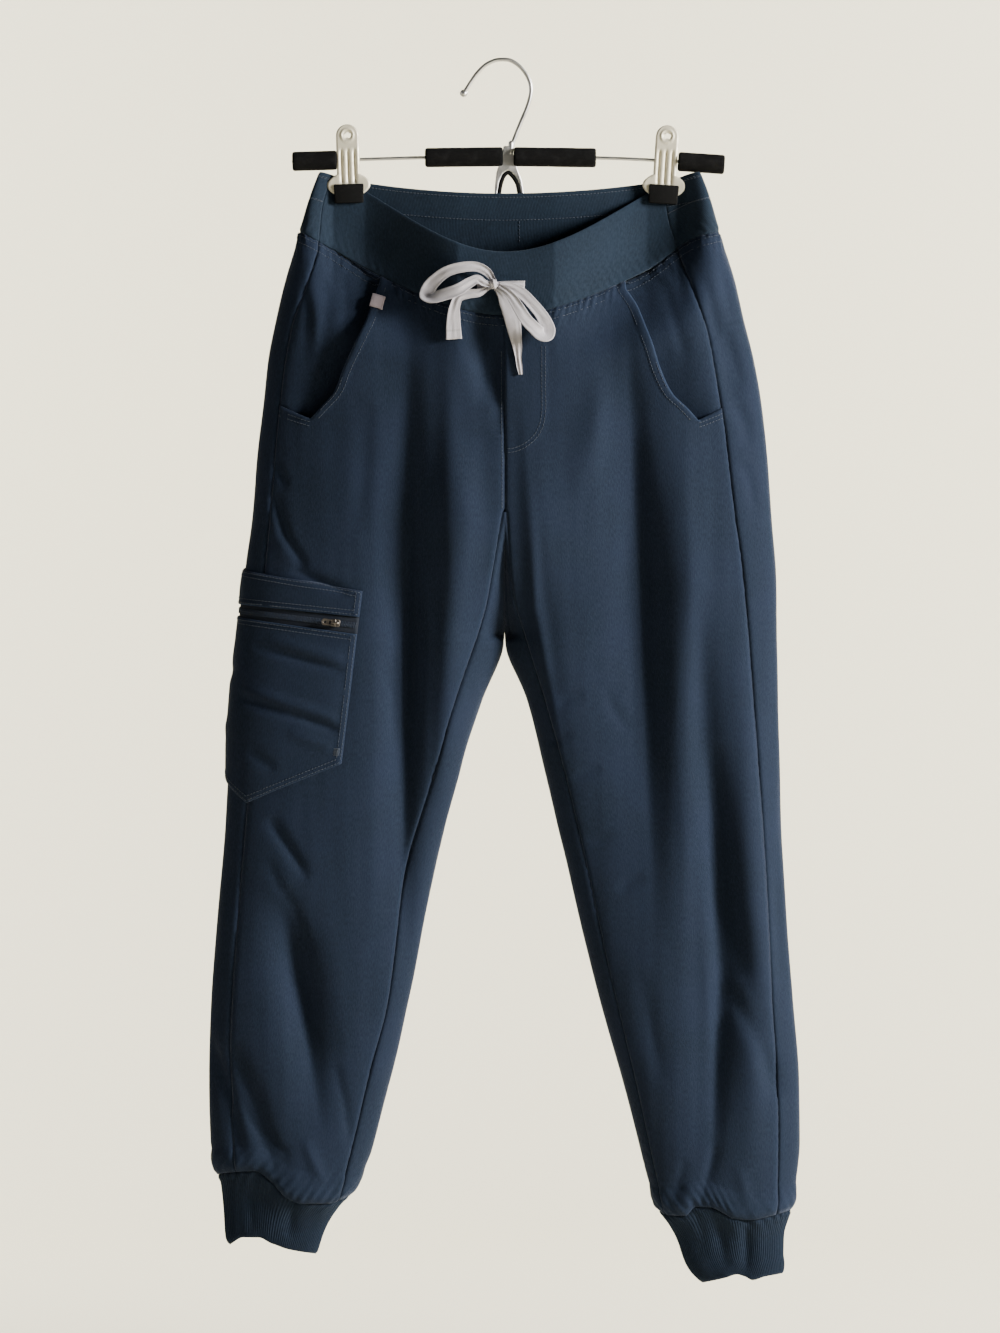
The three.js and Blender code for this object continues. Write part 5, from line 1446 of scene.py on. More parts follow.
def tube(path, radius, sides=12, round_ends=True):
    """A round rod along a path, its ends domed."""
    path = np.asarray(path, float)
    tangents = unit(np.gradient(path, axis=0))
    radii = np.broadcast_to(np.asarray(radius, float), (len(path),)).copy()
    if round_ends:
        reach = np.array([0.98, 0.8, 0.45])
        caps = np.sqrt(1 - reach**2)
        first = path[0] - tangents[0] * radii[0] * reach[:, None]
        last = path[-1] + tangents[-1] * radii[-1] * reach[::-1, None]
        path = np.concatenate([first, path, last])
        tangents = np.concatenate([tangents[:1].repeat(3, 0), tangents, tangents[-1:].repeat(3, 0)])
        radii = np.concatenate([radii[0] * caps, radii, radii[-1] * caps[::-1]])
    start = np.cross(tangents[0], (0, 0, 1.0))
    if np.linalg.norm(start) < 0.1:
        start = np.cross(tangents[0], (0, 1.0, 0))
    side = start / np.linalg.norm(start)
    angles = np.arange(sides) / sides * 2 * np.pi
    rings = []
    for place, tangent, size in zip(path, tangents, radii):
        side = side - tangent * np.dot(side, tangent)
        side /= np.linalg.norm(side)
        up = np.cross(tangent, side)
        rings.append(place + size * (np.outer(np.cos(angles), side) + np.outer(np.sin(angles), up)))
    return np.concatenate(rings), ring_faces(len(path), sides)


def ring_faces(rings, sides, closed=False):
    faces = []
    for i in range(rings if closed else rings - 1):
        a, b = i * sides, (i + 1) % rings * sides
        for k in range(sides):
            n = (k + 1) % sides
            faces.append((a + k, a + n, b + n, b + k))
    if not closed:
        faces.append(tuple(range(sides))[::-1])
        faces.append(tuple((rings - 1) * sides + k for k in range(sides)))
    return faces


def smooth_path(points, per_span=6):
    """Places along a smooth curve through the points."""
    p = np.asarray(points, float)
    p = np.concatenate([[2 * p[0] - p[1]], p, [2 * p[-1] - p[-2]]])
    places = []
    for i in range(1, len(p) - 2):
        before, start, end, after = p[i - 1:i + 3]
        gaps = [max(1e-6, math.sqrt(np.linalg.norm(b - a))) for a, b in
                ((before, start), (start, end), (end, after))]
        leave = (start - before) / gaps[0] - (end - before) / (gaps[0] + gaps[1])
        leave = (leave + (end - start) / gaps[1]) * gaps[1]
        arrive = (end - start) / gaps[1] - (after - start) / (gaps[1] + gaps[2])
        arrive = (arrive + (after - end) / gaps[2]) * gaps[1]
        for t in np.arange(per_span) / per_span:
            t2, t3 = t * t, t * t * t
            places.append((2 * t3 - 3 * t2 + 1) * start + (t3 - 2 * t2 + t) * leave
                          + (3 * t2 - 2 * t3) * end + (t3 - t2) * arrive)
    places.append(p[-2])
    return np.array(places)


def plate(name, outline, holes, thick, edge):
    """A flat plate in X and Y, from a smooth-edged outline with holes, centred on its thickness."""
    curve = bpy.data.curves.new(name, "CURVE")
    curve.dimensions = "2D"
    curve.fill_mode = "BOTH"
    curve.extrude = (thick / 2 - edge) * MM
    curve.bevel_depth = edge * MM
    curve.bevel_resolution = 2
    curve.offset = -edge * MM
    for loop in (outline, *holes):
        spline = curve.splines.new("POLY")
        spline.points.add(len(loop) - 1)
        for point, (x, y) in zip(spline.points, loop):
            point.co = (x * MM, y * MM, 0, 1)
        spline.use_cyclic_u = True
    shape = bpy.data.objects.new(name, curve)
    mesh = bpy.data.meshes.new_from_object(shape)
    bpy.data.objects.remove(shape)
    bpy.data.curves.remove(curve)
    points = np.zeros(len(mesh.vertices) * 3)
    mesh.vertices.foreach_get("co", points)
    faces = [tuple(p.vertices) for p in mesh.polygons]
    bpy.data.meshes.remove(mesh)
    return points.reshape(-1, 3) / MM, faces


def soft_block(size, centre, edge):
    """A block with rounded edges."""
    shape = bmesh.new()
    bmesh.ops.create_cube(shape, size=1)
    bmesh.ops.scale(shape, vec=size, verts=shape.verts)
    bmesh.ops.bevel(shape, geom=shape.edges[:], offset=edge, segments=3, profile=0.5,
                    affect="EDGES")
    points = np.array([v.co[:] for v in shape.verts]) + np.array(centre, float)
    faces = [tuple(v.index for v in f.verts) for f in shape.faces]
    shape.free()
    return points, faces


def circle(radius, sides, x):
    angles = np.arange(sides) / sides * 2 * np.pi
    return [(x + radius * math.cos(a), radius * math.sin(a)) for a in angles]


def mirrored(edge):
    """An outline of two equal edges, from the one below the X axis."""
    return [*edge, *((x, -y) for x, y in reversed(edge))]


def moved(part, matrix):
    """A part turned and moved by a 4x4 matrix in millimetres."""
    points, faces = part
    points = np.asarray(points) @ np.array(matrix)[:3, :3].T + np.array(matrix)[:3, 3]
    return points, faces


def frame_matrix(origin, along, up, out):
    made = np.identity(4)
    made[:3, 0], made[:3, 1], made[:3, 2], made[:3, 3] = along, up, out, origin
    return made


def sharp_smooth(mesh, angle):
    """Smooth shading that keeps corners sharper than an angle."""
    mesh.set_sharp_from_angle(angle=math.radians(angle))
    return mesh


# Zip: the coil, the slider and its pull
SLIDER = {"across": -0.77, "length": 8.4, "width": 7, "base": 2, "axis": 3.3, "bridge": 4.4}
PULL = {"length": 12, "width": 6, "thick": 1.3, "bar": 0.7}
ZIP_ANGLE = 40


def zip_frame():
    """The slider's place: along the zip to the front, up the leg and out of the cloth."""
    def at(across):
        across = np.array(float(across))
        return cargo_place(across, zip_middle(across), TAPE_STAND + 0.3)

    here, normal = at(SLIDER["across"])
    along = unit(at(SLIDER["across"] - 0.05)[0] - at(SLIDER["across"] + 0.05)[0])
    up = unit(np.cross(normal, along))
    return here, along, up, np.cross(along, up)


def zip_coil():
    """Two rows of small teeth, locked together along the middle of the tape."""
    pitch, parts = 1.35, []
    across = np.linspace(-0.985, 0.985, 400)
    points, normals = cargo_place(across, zip_middle(across), TAPE_STAND - 0.25)
    reach = path_reach(points)
    tooth = soft_block((0.82, 2.9, 1.0), (0, 0, 0.25), 0.28)
    for i, place in enumerate(np.arange(1, reach[-1] - 1, pitch / 2)):
        at = on_path(place, reach, points)
        along = unit(on_path(place + 1, reach, points) - at)
        up = unit(np.cross(on_path(place, reach, normals), along))
        side = 0.95 if i % 2 else -0.95
        parts.append(moved(tooth, frame_matrix(at + up * side, along, up, np.cross(along, up))))
    return place_object("zip_teeth", joined_mesh("zip_teeth", parts), "zip_coil")


def zip_slider():
    half, wide, base, bridge = (SLIDER["length"] / 2, SLIDER["width"] / 2, SLIDER["base"],
                                SLIDER["bridge"])
    outline = mirrored([(-half, -wide * 0.5), (-half * 0.8, -wide * 0.72), (-half * 0.3, -wide),
                        (half * 0.8, -wide * 0.86), (half, -wide * 0.7)])
    points, faces = plate("slider", outline, [], base, 0.45)
    body = (points + np.array([0, 0, base / 2]), faces)
    reach = half - 1.1
    arch = [(-reach - 0.2, 0, base - 0.5), (-reach, 0, bridge - 0.5), (-reach + 0.9, 0, bridge + 0.35),
            (0, 0, bridge + 0.5), (reach - 0.9, 0, bridge + 0.35), (reach, 0, bridge - 0.5),
            (reach + 0.2, 0, base - 0.5)]
    points, faces = tube(smooth_path(arch, 5), 0.46, 10)
    points = points * np.array([1, 1.9, 1])
    flanges = [soft_block((SLIDER["length"] * 0.8, 0.5, 1.1), (0.2, s * wide * 0.86, base + 0.2), 0.2)
               for s in (-1, 1)]
    matrix = frame_matrix(*zip_frame())
    mesh = joined_mesh("slider_body", [moved(p, matrix) for p in (body, (points, faces), *flanges)])
    piece = place_object("slider_body", sharp_smooth(mesh, ZIP_ANGLE), "zip_metal")
    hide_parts("zip_slider")
    return piece


def zip_pull():
    """The pull tab, hinged on a bar under the slider's bridge."""
    length, half, thick, bar = PULL["length"], PULL["width"] / 2, PULL["thick"], PULL["bar"]
    outline = mirrored([(-length * 0.99, -half * 0.4), (-length * 0.9, -half * 0.86),
                        (-length * 0.8, -half), (-length * 0.42, -half * 0.86), (0, -half * 0.9),
                        (0.5, -half * 0.72)])
    window = mirrored([(-length * 0.44, -half * 0.5), (-0.9, -half * 0.55)])
    tab = plate("pull", outline, [window[::-1], circle(1.2, 16, -length * 0.75)[::-1]], thick, 0.28)
    rod = tube([(0, -half + 0.5, 0), (0, 0, 0), (0, half - 0.5, 0)], bar, 12)
    origin, along, up, out = zip_frame()
    matrix = frame_matrix(origin + out * SLIDER["axis"], along, up, out)
    mesh = joined_mesh("pull_tab", [moved(tab, matrix), moved(rod, matrix)])
    piece = place_object("pull_tab", sharp_smooth(mesh, ZIP_ANGLE), "zip_metal",
                         body="zip_pull")
    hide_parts("zip_pull")
    return piece


# Drawcord: flat tape tied in a bow
TAPE_COLUMNS = ("x", "drop", "stand", "width")
TAPE_THICK = 1.1
TAPE_WIDTH = 14
CORD_ROUTES = {
    "cord_tail_left": table(
        TAPE_COLUMNS, (-24, 198.7, 1.2, 9), (-20.5, 199, 1.5, 7), (-16.4, 199.8, 2.2, 4.2),
        (-12, 200.6, 3.6, 3.6), (-8, 202.6, 4.8, 4), (-2.4, 207.2, 5, 9),
        (1.6, 214.6, 4.2, 13), (5.4, 224.3, 3.6, 14), (7.8, 234, 3, 13), (9.6, 243.8, 2.6, 10.8),
        (11.2, 253.5, 2.2, 8), (12, 262, 1.8, 5.4), (13, 270, 1.5, 5), (14.2, 277, 1.3, 3.4)),
    "cord_tail_right": table(
        TAPE_COLUMNS, (17.6, 199, 1.2, 7), (10, 198.8, 2.2, 6), (2, 198.6, 2.4, 5),
        (-6, 198.8, 2.8, 4), (-11, 200.6, 3.2, 3.6), (-15.7, 203.5, 3.8, 4),
        (-22.4, 206.6, 4, 7), (-32, 207.6, 3.6, 8), (-39.6, 210.4, 3, 8), (-42.8, 217.6, 2.6, 9),
        (-44, 227, 2.4, 11.5), (-44.2, 237, 2.2, 13), (-43.8, 246.4, 2, 14)),
    "cord_loop_right": table(
        TAPE_COLUMNS, (-9.4, 197.6, 7.4, 4.5), (-15, 189.6, 8, 7.5), (-23.8, 185.2, 8.6, 8.4),
        (-35.5, 185, 8.8, 9), (-46.6, 188.4, 8.6, 9.4), (-55.4, 194.4, 8.2, 10.5),
        (-61.4, 200.8, 7.8, 12), (-63.6, 206.4, 8.6, 13), (-63.4, 210.6, 10.6, 12.8),
        (-58.4, 212, 12.2, 12), (-49.5, 209.6, 12, 11.2), (-39, 205, 11.4, 10.5),
        (-30, 199, 11, 9), (-23.6, 196.4, 10.8, 7.5), (-17.6, 199.6, 9.8, 6),
        (-10.4, 200.8, 8.4, 4.5)),
    "cord_loop_left": table(
        TAPE_COLUMNS, (-5, 200.4, 7.4, 4.5), (4, 201.8, 7.2, 7.5), (15, 207.8, 7, 10),
        (24.4, 216.8, 6.8, 10), (31.4, 224.8, 6.8, 10.5), (35.4, 232, 7.4, 12),
        (36.8, 238, 9.2, 14), (35.6, 242, 11.4, 14), (31.2, 241.4, 12.8, 12.4),
        (25, 236, 13, 11), (18.8, 229, 12.8, 10.6), (12.6, 221.2, 12.2, 10),
        (7, 213, 11, 8.5), (1, 206.4, 9.4, 6.5), (-5.4, 201.4, 8, 4)),
}
CORD_NODES = {
    "cord_tail_left": ("drawcord_strand_right", "drawcord_tail_left"),
    "cord_tail_right": ("drawcord_strand_left", "drawcord_tail_right"),
    "cord_loop_right": ("drawcord_loop_right",),
    "cord_loop_left": ("drawcord_loop_left",),
}
KNOT = {"x": -9.6, "drop": 199.6, "stand": 6.4, "wide": 4.4, "tall": 4.4, "deep": 5.4}


def tape_route(route):
    """A tape's centreline, its sideways and outward directions, and its width at each place."""
    places, _ = front_place(route["x"], route["drop"], route["stand"])
    per_span = 6
    path = smooth_path(places, per_span)
    count = len(path)
    widths = np.interp(np.arange(count) / per_span, np.arange(len(places)), route["width"])
    tangents = unit(np.gradient(path, axis=0))
    sides, outs = [], []
    side = np.cross(tangents[0], (0, -1.0, 0))
    for tangent in tangents:
        level = np.cross(tangent, (0, -1.0, 0))
        level *= np.sign(np.dot(level, side)) * 0.2 * np.linalg.norm(level)
        side = side + level
        side = side - tangent * np.dot(side, tangent)
        side = side / np.linalg.norm(side)
        sides.append(side)
        outs.append(np.cross(side, tangent))
    return path, np.array(sides), np.array(outs), widths


def flat_tape(name, route, hemmed):
    """A flat woven tape, cupped and bunched where it is pulled narrow."""
    path, sides, outs, widths = tape_route(route)
    full, across = TAPE_WIDTH, np.linspace(-1, 1, 15)
    reach = path_reach(path)
    pinch = clamp01(1 - widths / full)[:, None]
    pleat = np.cos(across * np.pi * 1.5 + 0.7) * 1.5 * pinch**1.3
    cup = 0.9 * across**2 * (0.4 + pinch) + 0.25 * ripple(
        across * 6, reach[:, None] * 0.12, 0, 1.4, len(route["x"]) * 3.1)
    middle = (pleat + cup - 0.3)[..., None] * outs[:, None]
    row = path[:, None] + across[:, None] * (widths / 2)[:, None, None] * sides[:, None] + middle
    half = TAPE_THICK / 2 * (1 - 0.45 * np.abs(across) ** 8)
    half = np.broadcast_to(half, widths.shape + half.shape).copy()
    half += 0.12 * bell(np.abs(across), 0.9, 0.06)
    if hemmed:
        from_end = reach[-1] - reach
        half *= (1 + 0.35 * (1 - smooth(7.5, 8.4, from_end)))[:, None]
        half[-1] *= 0.75
    top = row + outs[:, None] * half[..., None]
    under = row - outs[:, None] * half[..., None]
    rings = np.concatenate([top, under[:, ::-1]], axis=1)
    shape = rings.shape[:2]
    mesh = mesh_from(name, rings.reshape(-1, 3), ring_faces(*shape))
    flat_across = np.concatenate([across, across[::-1]]) * full / 2
    cut = np.stack(np.broadcast_arrays(flat_across, reach[:, None], np.zeros(shape)), axis=-1)
    edge = np.abs(flat_across) / (full / 2)
    # Painted shade darkens the tape where it is pinched narrow into folds; a darker line also runs
    # along each border.
    wear = 0.30 * bell(edge, 0.86, 0.04) + 0.5 * pinch**2
    # A dark line is also painted across each tail where its hem's fold begins.
    if hemmed:
        line = bell(reach[-1] - reach, 8, 0.6)[:, None]
        wear = np.maximum(wear, 0.8 * line)
    add_values(mesh, "cut", cut.reshape(-1, 3) * MM)
    add_values(mesh, "wear", np.broadcast_to(wear, shape).ravel())
    piece = place_object(name, mesh, "cord")
    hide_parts(*CORD_NODES[name])
    return piece, path * MM, reach[-1] * MM


def knot():
    """The tight crossing of the bow: wraps of tape pulled into folds round a small core."""
    centre, _ = front_place(KNOT["x"], KNOT["drop"], KNOT["stand"])
    parts, cuts = [], []
    for lean, size, wide in ((12, 1.0, 6.2), (-64, 0.86, 5.0), (78, 0.8, 4.2)):
        around, across = np.arange(36) / 36 * 2 * np.pi, np.linspace(-1, 1, 9)
        a, u = np.meshgrid(around, across, indexing="ij")
        folds = 1 + 0.10 * np.cos(u * 7 + lean) + 0.05 * np.sin(3 * a + lean)
        slim = np.sqrt(np.maximum(0.0, 1 - (0.72 * u) ** 2))
        x = u * wide / 2
        y = -np.sin(a) * KNOT["deep"] * size * slim * folds
        z = np.cos(a) * KNOT["tall"] * size * slim * folds
        turn = math.radians(lean)
        points = np.stack([x * math.cos(turn) - z * math.sin(turn), y,
                           x * math.sin(turn) + z * math.cos(turn)], axis=-1)
        inward = points * 0.8
        rings = np.concatenate([points, inward[:, ::-1]], axis=1) + centre
        parts.append((rings.reshape(-1, 3), ring_faces(36, 18, closed=True)))
        flat = np.stack([np.concatenate([u, u[:, ::-1]], axis=1) * wide,
                         np.concatenate([a, a], axis=1) * 5, np.zeros((36, 18))], axis=-1)
        cuts.append(flat.reshape(-1, 3))
    mesh = joined_mesh("cord_knot", parts)
    add_values(mesh, "cut", np.concatenate(cuts) * MM)
    # The whole knot is coloured a little darker.
    add_values(mesh, "wear", np.full(len(mesh.vertices), 0.2))
    piece = place_object("cord_knot", mesh, "cord")
    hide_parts("drawcord_knot")
    return piece


# Sewing


def on_cloth(places, names, from_face=None):
    """The nearest places on finished cloth to a run of places, with their outward directions.

    With "front" or "back" the places are seen from that side and only their x and z count.
    """
    found, normals = [], []
    for place in places:
        best = None
        for name in names:
            if from_face is None:
                hit, normal, _, _ = from_outside[name].find_nearest(Vector(place))
                far = (hit - Vector(place)).length
            else:
                sign = -1 if from_face == "front" else 1
                start = Vector((place[0], sign * 200, place[2]))
                hit, normal, _, far = from_outside[name].ray_cast(start, Vector((0, -sign, 0)))
            if hit is not None and (best is None or far < best[0]):
                best = (far, hit, normal)
        if best is not None:
            found.append(best[1][:])
            normals.append(best[2][:])
    return np.array(found), np.array(normals)


def stitches(places, normals, pitch, parts, thick=0.24, share=0.78):
    """Adds a run of sewn stitches along places on the cloth."""
    reach = path_reach(places)
    if reach[-1] < pitch:
        return
    count = max(1, round(reach[-1] / pitch))
    step = reach[-1] / count
    profile = np.array([0, 0.22, 0.5, 0.78, 1.0])
    height = np.array([-0.25, 0.16, 0.26, 0.16, -0.25])
    angles = np.arange(6) / 6 * 2 * np.pi
    for i in range(count):
        along = (i + 0.5 - share / 2 + share * profile) * step
        out = unit(on_path(along, reach, normals))
        line = on_path(along, reach, places) + out * height[:, None]
        tangent = unit(np.gradient(line, axis=0))
        side = unit(np.cross(tangent, out))
        up = np.cross(side, tangent)
        size = thick * np.array([0.75, 1, 1, 1, 0.75])
        ring = (np.cos(angles)[None, :, None] * side[:, None] * 1.15
                + np.sin(angles)[None, :, None] * up[:, None]) * size[:, None, None]
        points = (line[:, None] + ring).reshape(-1, 3)
        parts.append((points, STITCH_FACES))


STITCH_FACES = ring_faces(5, 6)


def seen_route(points, per_span=10):
    """A smooth run of places through (x, drop) points."""
    points = np.array([(x, 0, -drop) for x, drop in points], float)
    return smooth_path(points, per_span)


def beside(route, away):
    """The run moved sideways, in X and Z."""
    tangent = unit(np.gradient(route, axis=0))
    side = np.stack([-tangent[:, 2], tangent[:, 1] * 0, tangent[:, 0]], axis=1)
    return route + side * away


def level_run(half, levels, turns, count=160):
    """Places on the cloth along a line given by its levels and turns."""
    level = np.interp(np.linspace(0, 1, count), np.linspace(0, 1, len(levels)), levels)
    turn = np.interp(np.linspace(0, 1, count), np.linspace(0, 1, len(turns)), turns)
    return surface(half, level, turn)


class Sewing:
    """Runs of stitches that make one piece."""

    def __init__(self):
        self.parts = []
        self.pitch = bpy.context.scene.joggers_cloth.stitch / MM

    def run(self, places, names, from_face=None):
        stitches(*on_cloth(places, names, from_face), self.pitch, self.parts)

    def piece(self, name):
        return place_object(name, joined_mesh(name, self.parts), "thread")


def sewing_waist():
    """Stitch rows along the waist seam all round, and along the band's rim and casing at the back."""
    sewing = Sewing()
    panels = ["leg_front_right", "leg_front_left", "leg_back_right", "leg_back_left",
              "hip_cloth_right", "hip_cloth_left"]
    back = ["waistband_back_knit"]
    band_rows = (RIM_DROP + 3.6, RIM_DROP + 24)
    rows = [(WAIST_DROP + 2.6, panels, None), (WAIST_DROP + 7.6, panels, None)]
    back_rows = [(drop, back, seen) for seen in (None, "front") for drop in band_rows]
    for half in (RIGHT, LEFT):
        for face in ("front", "back"):
            for drop, names, seen in (rows if face == "front" else rows + back_rows):
                side = float(side_turn(half, drop))
                ends = [0.0, side] if face == "front" else [side, 2.0]
                sewing.run(level_run(half, [drop, drop], ends), names, seen)
    return sewing.piece("stitches_waist")


def sewing_front():
    """The mock fly, the middle seam and the two rows along each hand pocket's mouth."""
    sewing = Sewing()
    fly = [(FLY["width"], 252), (FLY["width"], 282), (FLY["width"], 310), (33.4, 322),
           (28, 332), (18, 340.5), (8, 344.4), (2.5, 345)]
    for away in (0, -3.2):
        sewing.run(beside(seen_route(fly), away), ["leg_front_right", "leg_front_left"], "front")
    middle = seen_route([(-2.6, 256), (-2.6, 300), (-2.4, 350), (-2.2, 394)])
    sewing.run(middle, ["leg_front_right"], "front")
    for half in (RIGHT, LEFT):
        name = [f"leg_front_{half.name}"]
        for inset in (2.0, 6.2):
            levels = np.linspace(WAIST_DROP + 4, POCKET_END_DROP - 1, 80)
            mouth = POCKET_TURNS[half.letter](levels)
            x, _, _, _ = section(half, levels, mouth)
            turns = turn_at_x(half, levels, x - inset)
            at, out = surface_frame(half, levels, turns)
            sewing.run(at + out * mouth_lift(half, levels, turns)[:, None], name)
            levels = np.linspace(POCKET_END_DROP + 1 + inset, POCKET_END_DROP - 6 + inset, 20)
            mouth = float(POCKET_TURNS[half.letter](POCKET_END_DROP))
            side = float(side_turn(half, POCKET_END_DROP))
            sewing.run(level_run(half, levels, [mouth, side], 30), name)
    return sewing.piece("stitches_front")


def sewing_back():
    """The back middle seam and the short row on the band's back."""
    sewing = Sewing()
    for half in (RIGHT, LEFT):
        middle = level_run(half, [WAIST_DROP + 10, 496], [1.988, 1.988])
        sewing.run(middle, [f"leg_back_{half.name}"])
    short = np.array([[13, 0, -drop] for drop in np.linspace(140, 159, 20)])
    for face in ("front", "back"):
        sewing.run(short, ["waistband_back_knit"], face)
    return sewing.piece("stitches_back")


def sewing_cargo():
    """Double rows round the cargo pocket, its top band's ends and its bar tacks."""
    def row(across, drop):
        return cargo_place(across, drop, PANEL_STAND)[0]

    sewing = Sewing()
    bag, band = ["cargo_bag_cloth"], ["cargo_top_cloth"]
    for inset in (1.6, 5.2):
        scale = 1 - inset / BAG_HALF
        a = np.linspace(-scale, scale, 220)
        sewing.run(row(a, cargo_foot(a) - inset * 1.12), bag)
        for end in (-scale, scale):
            at_end = np.full(80, end)
            down_bag = np.linspace(zip_foot(end) + 2, cargo_foot(end) - 2 - inset, 80)
            sewing.run(row(at_end, down_bag), bag)
            down_band = np.linspace(cargo_top(end) + 1.5, zip_top(end) - 2, 80)
            sewing.run(row(at_end, down_band), band)
        sewing.run(row(a, cargo_top(a) + inset), band)
        sewing.run(row(a, zip_top(a) - inset - 0.4), band)
        sewing.run(row(a, zip_foot(a) + inset + 0.4), bag)
    for end in (-0.93, 0.93):
        tack = end + np.linspace(-0.04, 0.04, 12)
        for i in range(6):
            drop = np.full(12, cargo_foot(end) - 10 - i * 1.1)
            stitches(*on_cloth(row(tack, drop), bag), 6.5, sewing.parts, 0.3, 0.95)
    return sewing.piece("stitches_cargo")


def sewing_cuffs():
    """A row just above each cuff's seam."""
    sewing = Sewing()
    for half in (RIGHT, LEFT):
        names = [f"leg_front_{half.name}", f"leg_back_{half.name}"]
        sewing.run(level_run(half, [half.hem_level - 7] * 2, [0.02, 1.98], 200), names)
    return sewing.piece("stitches_cuffs")


# Clip hanger
HOOK_WIRE = 1.75
HOOK = ((-34, -24.4), (-29.6, -17.6), (-24.4, -10.2), (-16.3, -2.4), (-7.4, 1.6), (-1, 2.05),
        (5, 1.4), (14, -4.6), (21.4, -15.4), (23.3, -25), (20.4, -38.3), (13.9, -54.1), (8, -69),
        (6.6, -73.4))
HOOK_TIP = {"x": -35.9, "z": -27.6, "radius": 3.4}
BAR_WIRE = 1.5
BAR = table(("x", "z"), (-186, -87.6), (-137.7, -86.2), (-70, -84.2), (0, -83.4), (80, -84.4),
            (141.7, -87), (193, -90.4))
SLEEVES = (("end_right", -186.8, -147.4), ("middle_right", -70, -1.4), ("middle_left", 8, 80.5),
           ("end_left", 152.6, 193.6))
SLEEVE_RADIUS = 8.7
CLIPS = (("right", -137.7, -1.6), ("left", 141.7, 3.8))
CLIP = {"plate": 1.2, "inside": 4.7, "half": 10, "top": 31, "foot": -31, "wing_top": -13,
        "wing_half": 20.2, "hole": 3.2, "hole_height": 21.5, "barrel": 4.35, "length": 17}
BOOT = {"half": 13.2, "top": -21.6, "foot": -38.3, "inside": 2.9, "outside": 7.8}
bar_height = Curve(BAR, "x", "z")


def hard_piece(name, parts, finish, node, angle=35):
    piece = place_object(name, sharp_smooth(joined_mesh(name, parts), angle), finish)
    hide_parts(node)
    return piece


def hook():
    path = smooth_path([(x, 0, z) for x, z in HOOK], 8)
    hard_piece("hanger_hook", [tube(path, HOOK_WIRE, 20)], "wire", "hook_wire")
    t = np.linspace(0, np.pi, 17)
    ball = [(HOOK_TIP["x"], 0, HOOK_TIP["z"] + HOOK_TIP["radius"] * math.cos(a)) for a in t]
    radii = np.maximum(HOOK_TIP["radius"] * np.sin(t), 0.02)
    hard_piece("hanger_hook_ball", [tube(ball, radii, 24, round_ends=False)], "wire", "hook_tip")


def bar():
    path = smooth_path([(x, 0, z) for x, z in zip(BAR["x"], BAR["z"])], 10)
    hard_piece("hanger_bar", [tube(path, BAR_WIRE, 16)], "wire", "bar_wire")


def yoke_plates():
    """Pressed plate that joins the hook to the bar, with its collar, and its arch."""
    outline = [(-0.9, -74.6), (0, -74), (5.4, -74), (6.3, -74.8), (8.4, -84), (11.2, -93.7),
               (15.2, -104.3), (17, -115.2), (17.4, -120.8), (17, -121.4), (-8.8, -121.4),
               (-9.2, -120.8), (-8.6, -109.6), (-7.2, -97.2), (-4.2, -88.4), (-1.8, -80)]
    window = [(3.1, -95.2), (-1.6, -98.2), (-4.8, -105.4), (-7, -118.2), (15.2, -118.2),
              (12.7, -105.6), (7.8, -98.2)]
    stand = Matrix.Rotation(math.pi / 2, 4, "X")
    web = moved(plate("yoke", outline, [window], 4.2, 0.8), stand)
    collar = tube([(5.9, 0, -71.6), (5.4, 0, -80)], 2.5, 18)
    hard_piece("hanger_yoke", [web, collar], "yoke", "yoke")
    # Painted shadow: a black rod laid along the top of the window stands for the cut edge lying in
    # shade; it takes the rubber finish for its black.
    path = smooth_path([(-5.2, 0, -117.6), (-3, 0, -106.4), (-0.2, 0, -99.8), (3.1, 0, -97.4),
                        (6.4, 0, -99.8), (11, 0, -106.8), (13.4, 0, -117.6)], 8)
    hard_piece("hanger_arch", [tube(path, 1.9, 14)], "rubber", "stirrup")


def sleeve(name, start, end):
    """A foam sleeve, its ends rounded by wear."""
    turn = 2.2
    t = np.linspace(0, np.pi / 2, 5)
    lengths = np.concatenate([turn - turn * np.cos(t), np.linspace(turn, end - start - turn, 18)[1:-1],
                              end - start - turn + turn * np.sin(t)])
    radii = np.concatenate([SLEEVE_RADIUS - turn + turn * np.sin(t), np.full(16, SLEEVE_RADIUS),
                            SLEEVE_RADIUS - turn + turn * np.cos(t)])
    lengths = np.concatenate([[lengths[0]], lengths, [lengths[-1]]])
    radii = np.concatenate([[BAR_WIRE + 0.3], radii, [BAR_WIRE + 0.3]])
    slope = (bar_height(end) - bar_height(start)) / (end - start)
    path = np.stack([start + lengths, lengths * 0, bar_height(start) + slope * lengths], axis=1)
    angles = np.arange(40) / 40 * 2 * np.pi
    uneven = 1 - 0.02 * (1 + ripple(np.cos(angles) * 8, np.sin(angles) * 8, path[:, :1], 9, start))
    tilt = np.array([-slope, 0, 1.0])
    rings = path[:, None] + (radii[:, None] * uneven)[..., None] * (
        np.cos(angles)[:, None] * np.array([0, 1.0, 0]) + np.sin(angles)[:, None] * tilt)
    part = (rings.reshape(-1, 3), ring_faces(len(path), 40))
    hard_piece(f"foam_{name}", [part], "foam", f"sleeve_{name}", 60)


def clip_matrix(bar_x, lean):
    place = Matrix.Translation((bar_x, 0, float(bar_height(bar_x))))
    return place @ Matrix.Rotation(math.radians(lean), 4, "Y")


def jaw_half_width(height):
    """Half the width of a clip's pressed plate at a height above its pivot."""
    top = CLIP["top"] - CLIP["half"]
    round_top = np.sqrt(np.maximum(CLIP["half"]**2 - np.maximum(height - top, 0) ** 2, 0))
    t = clamp01((CLIP["wing_top"] - height) / (CLIP["wing_top"] - CLIP["foot"]))
    wing = 8.4 * np.sin(np.pi * t) ** 0.75 + t
    return np.where(height < CLIP["wing_top"], CLIP["half"] + wing, round_top)


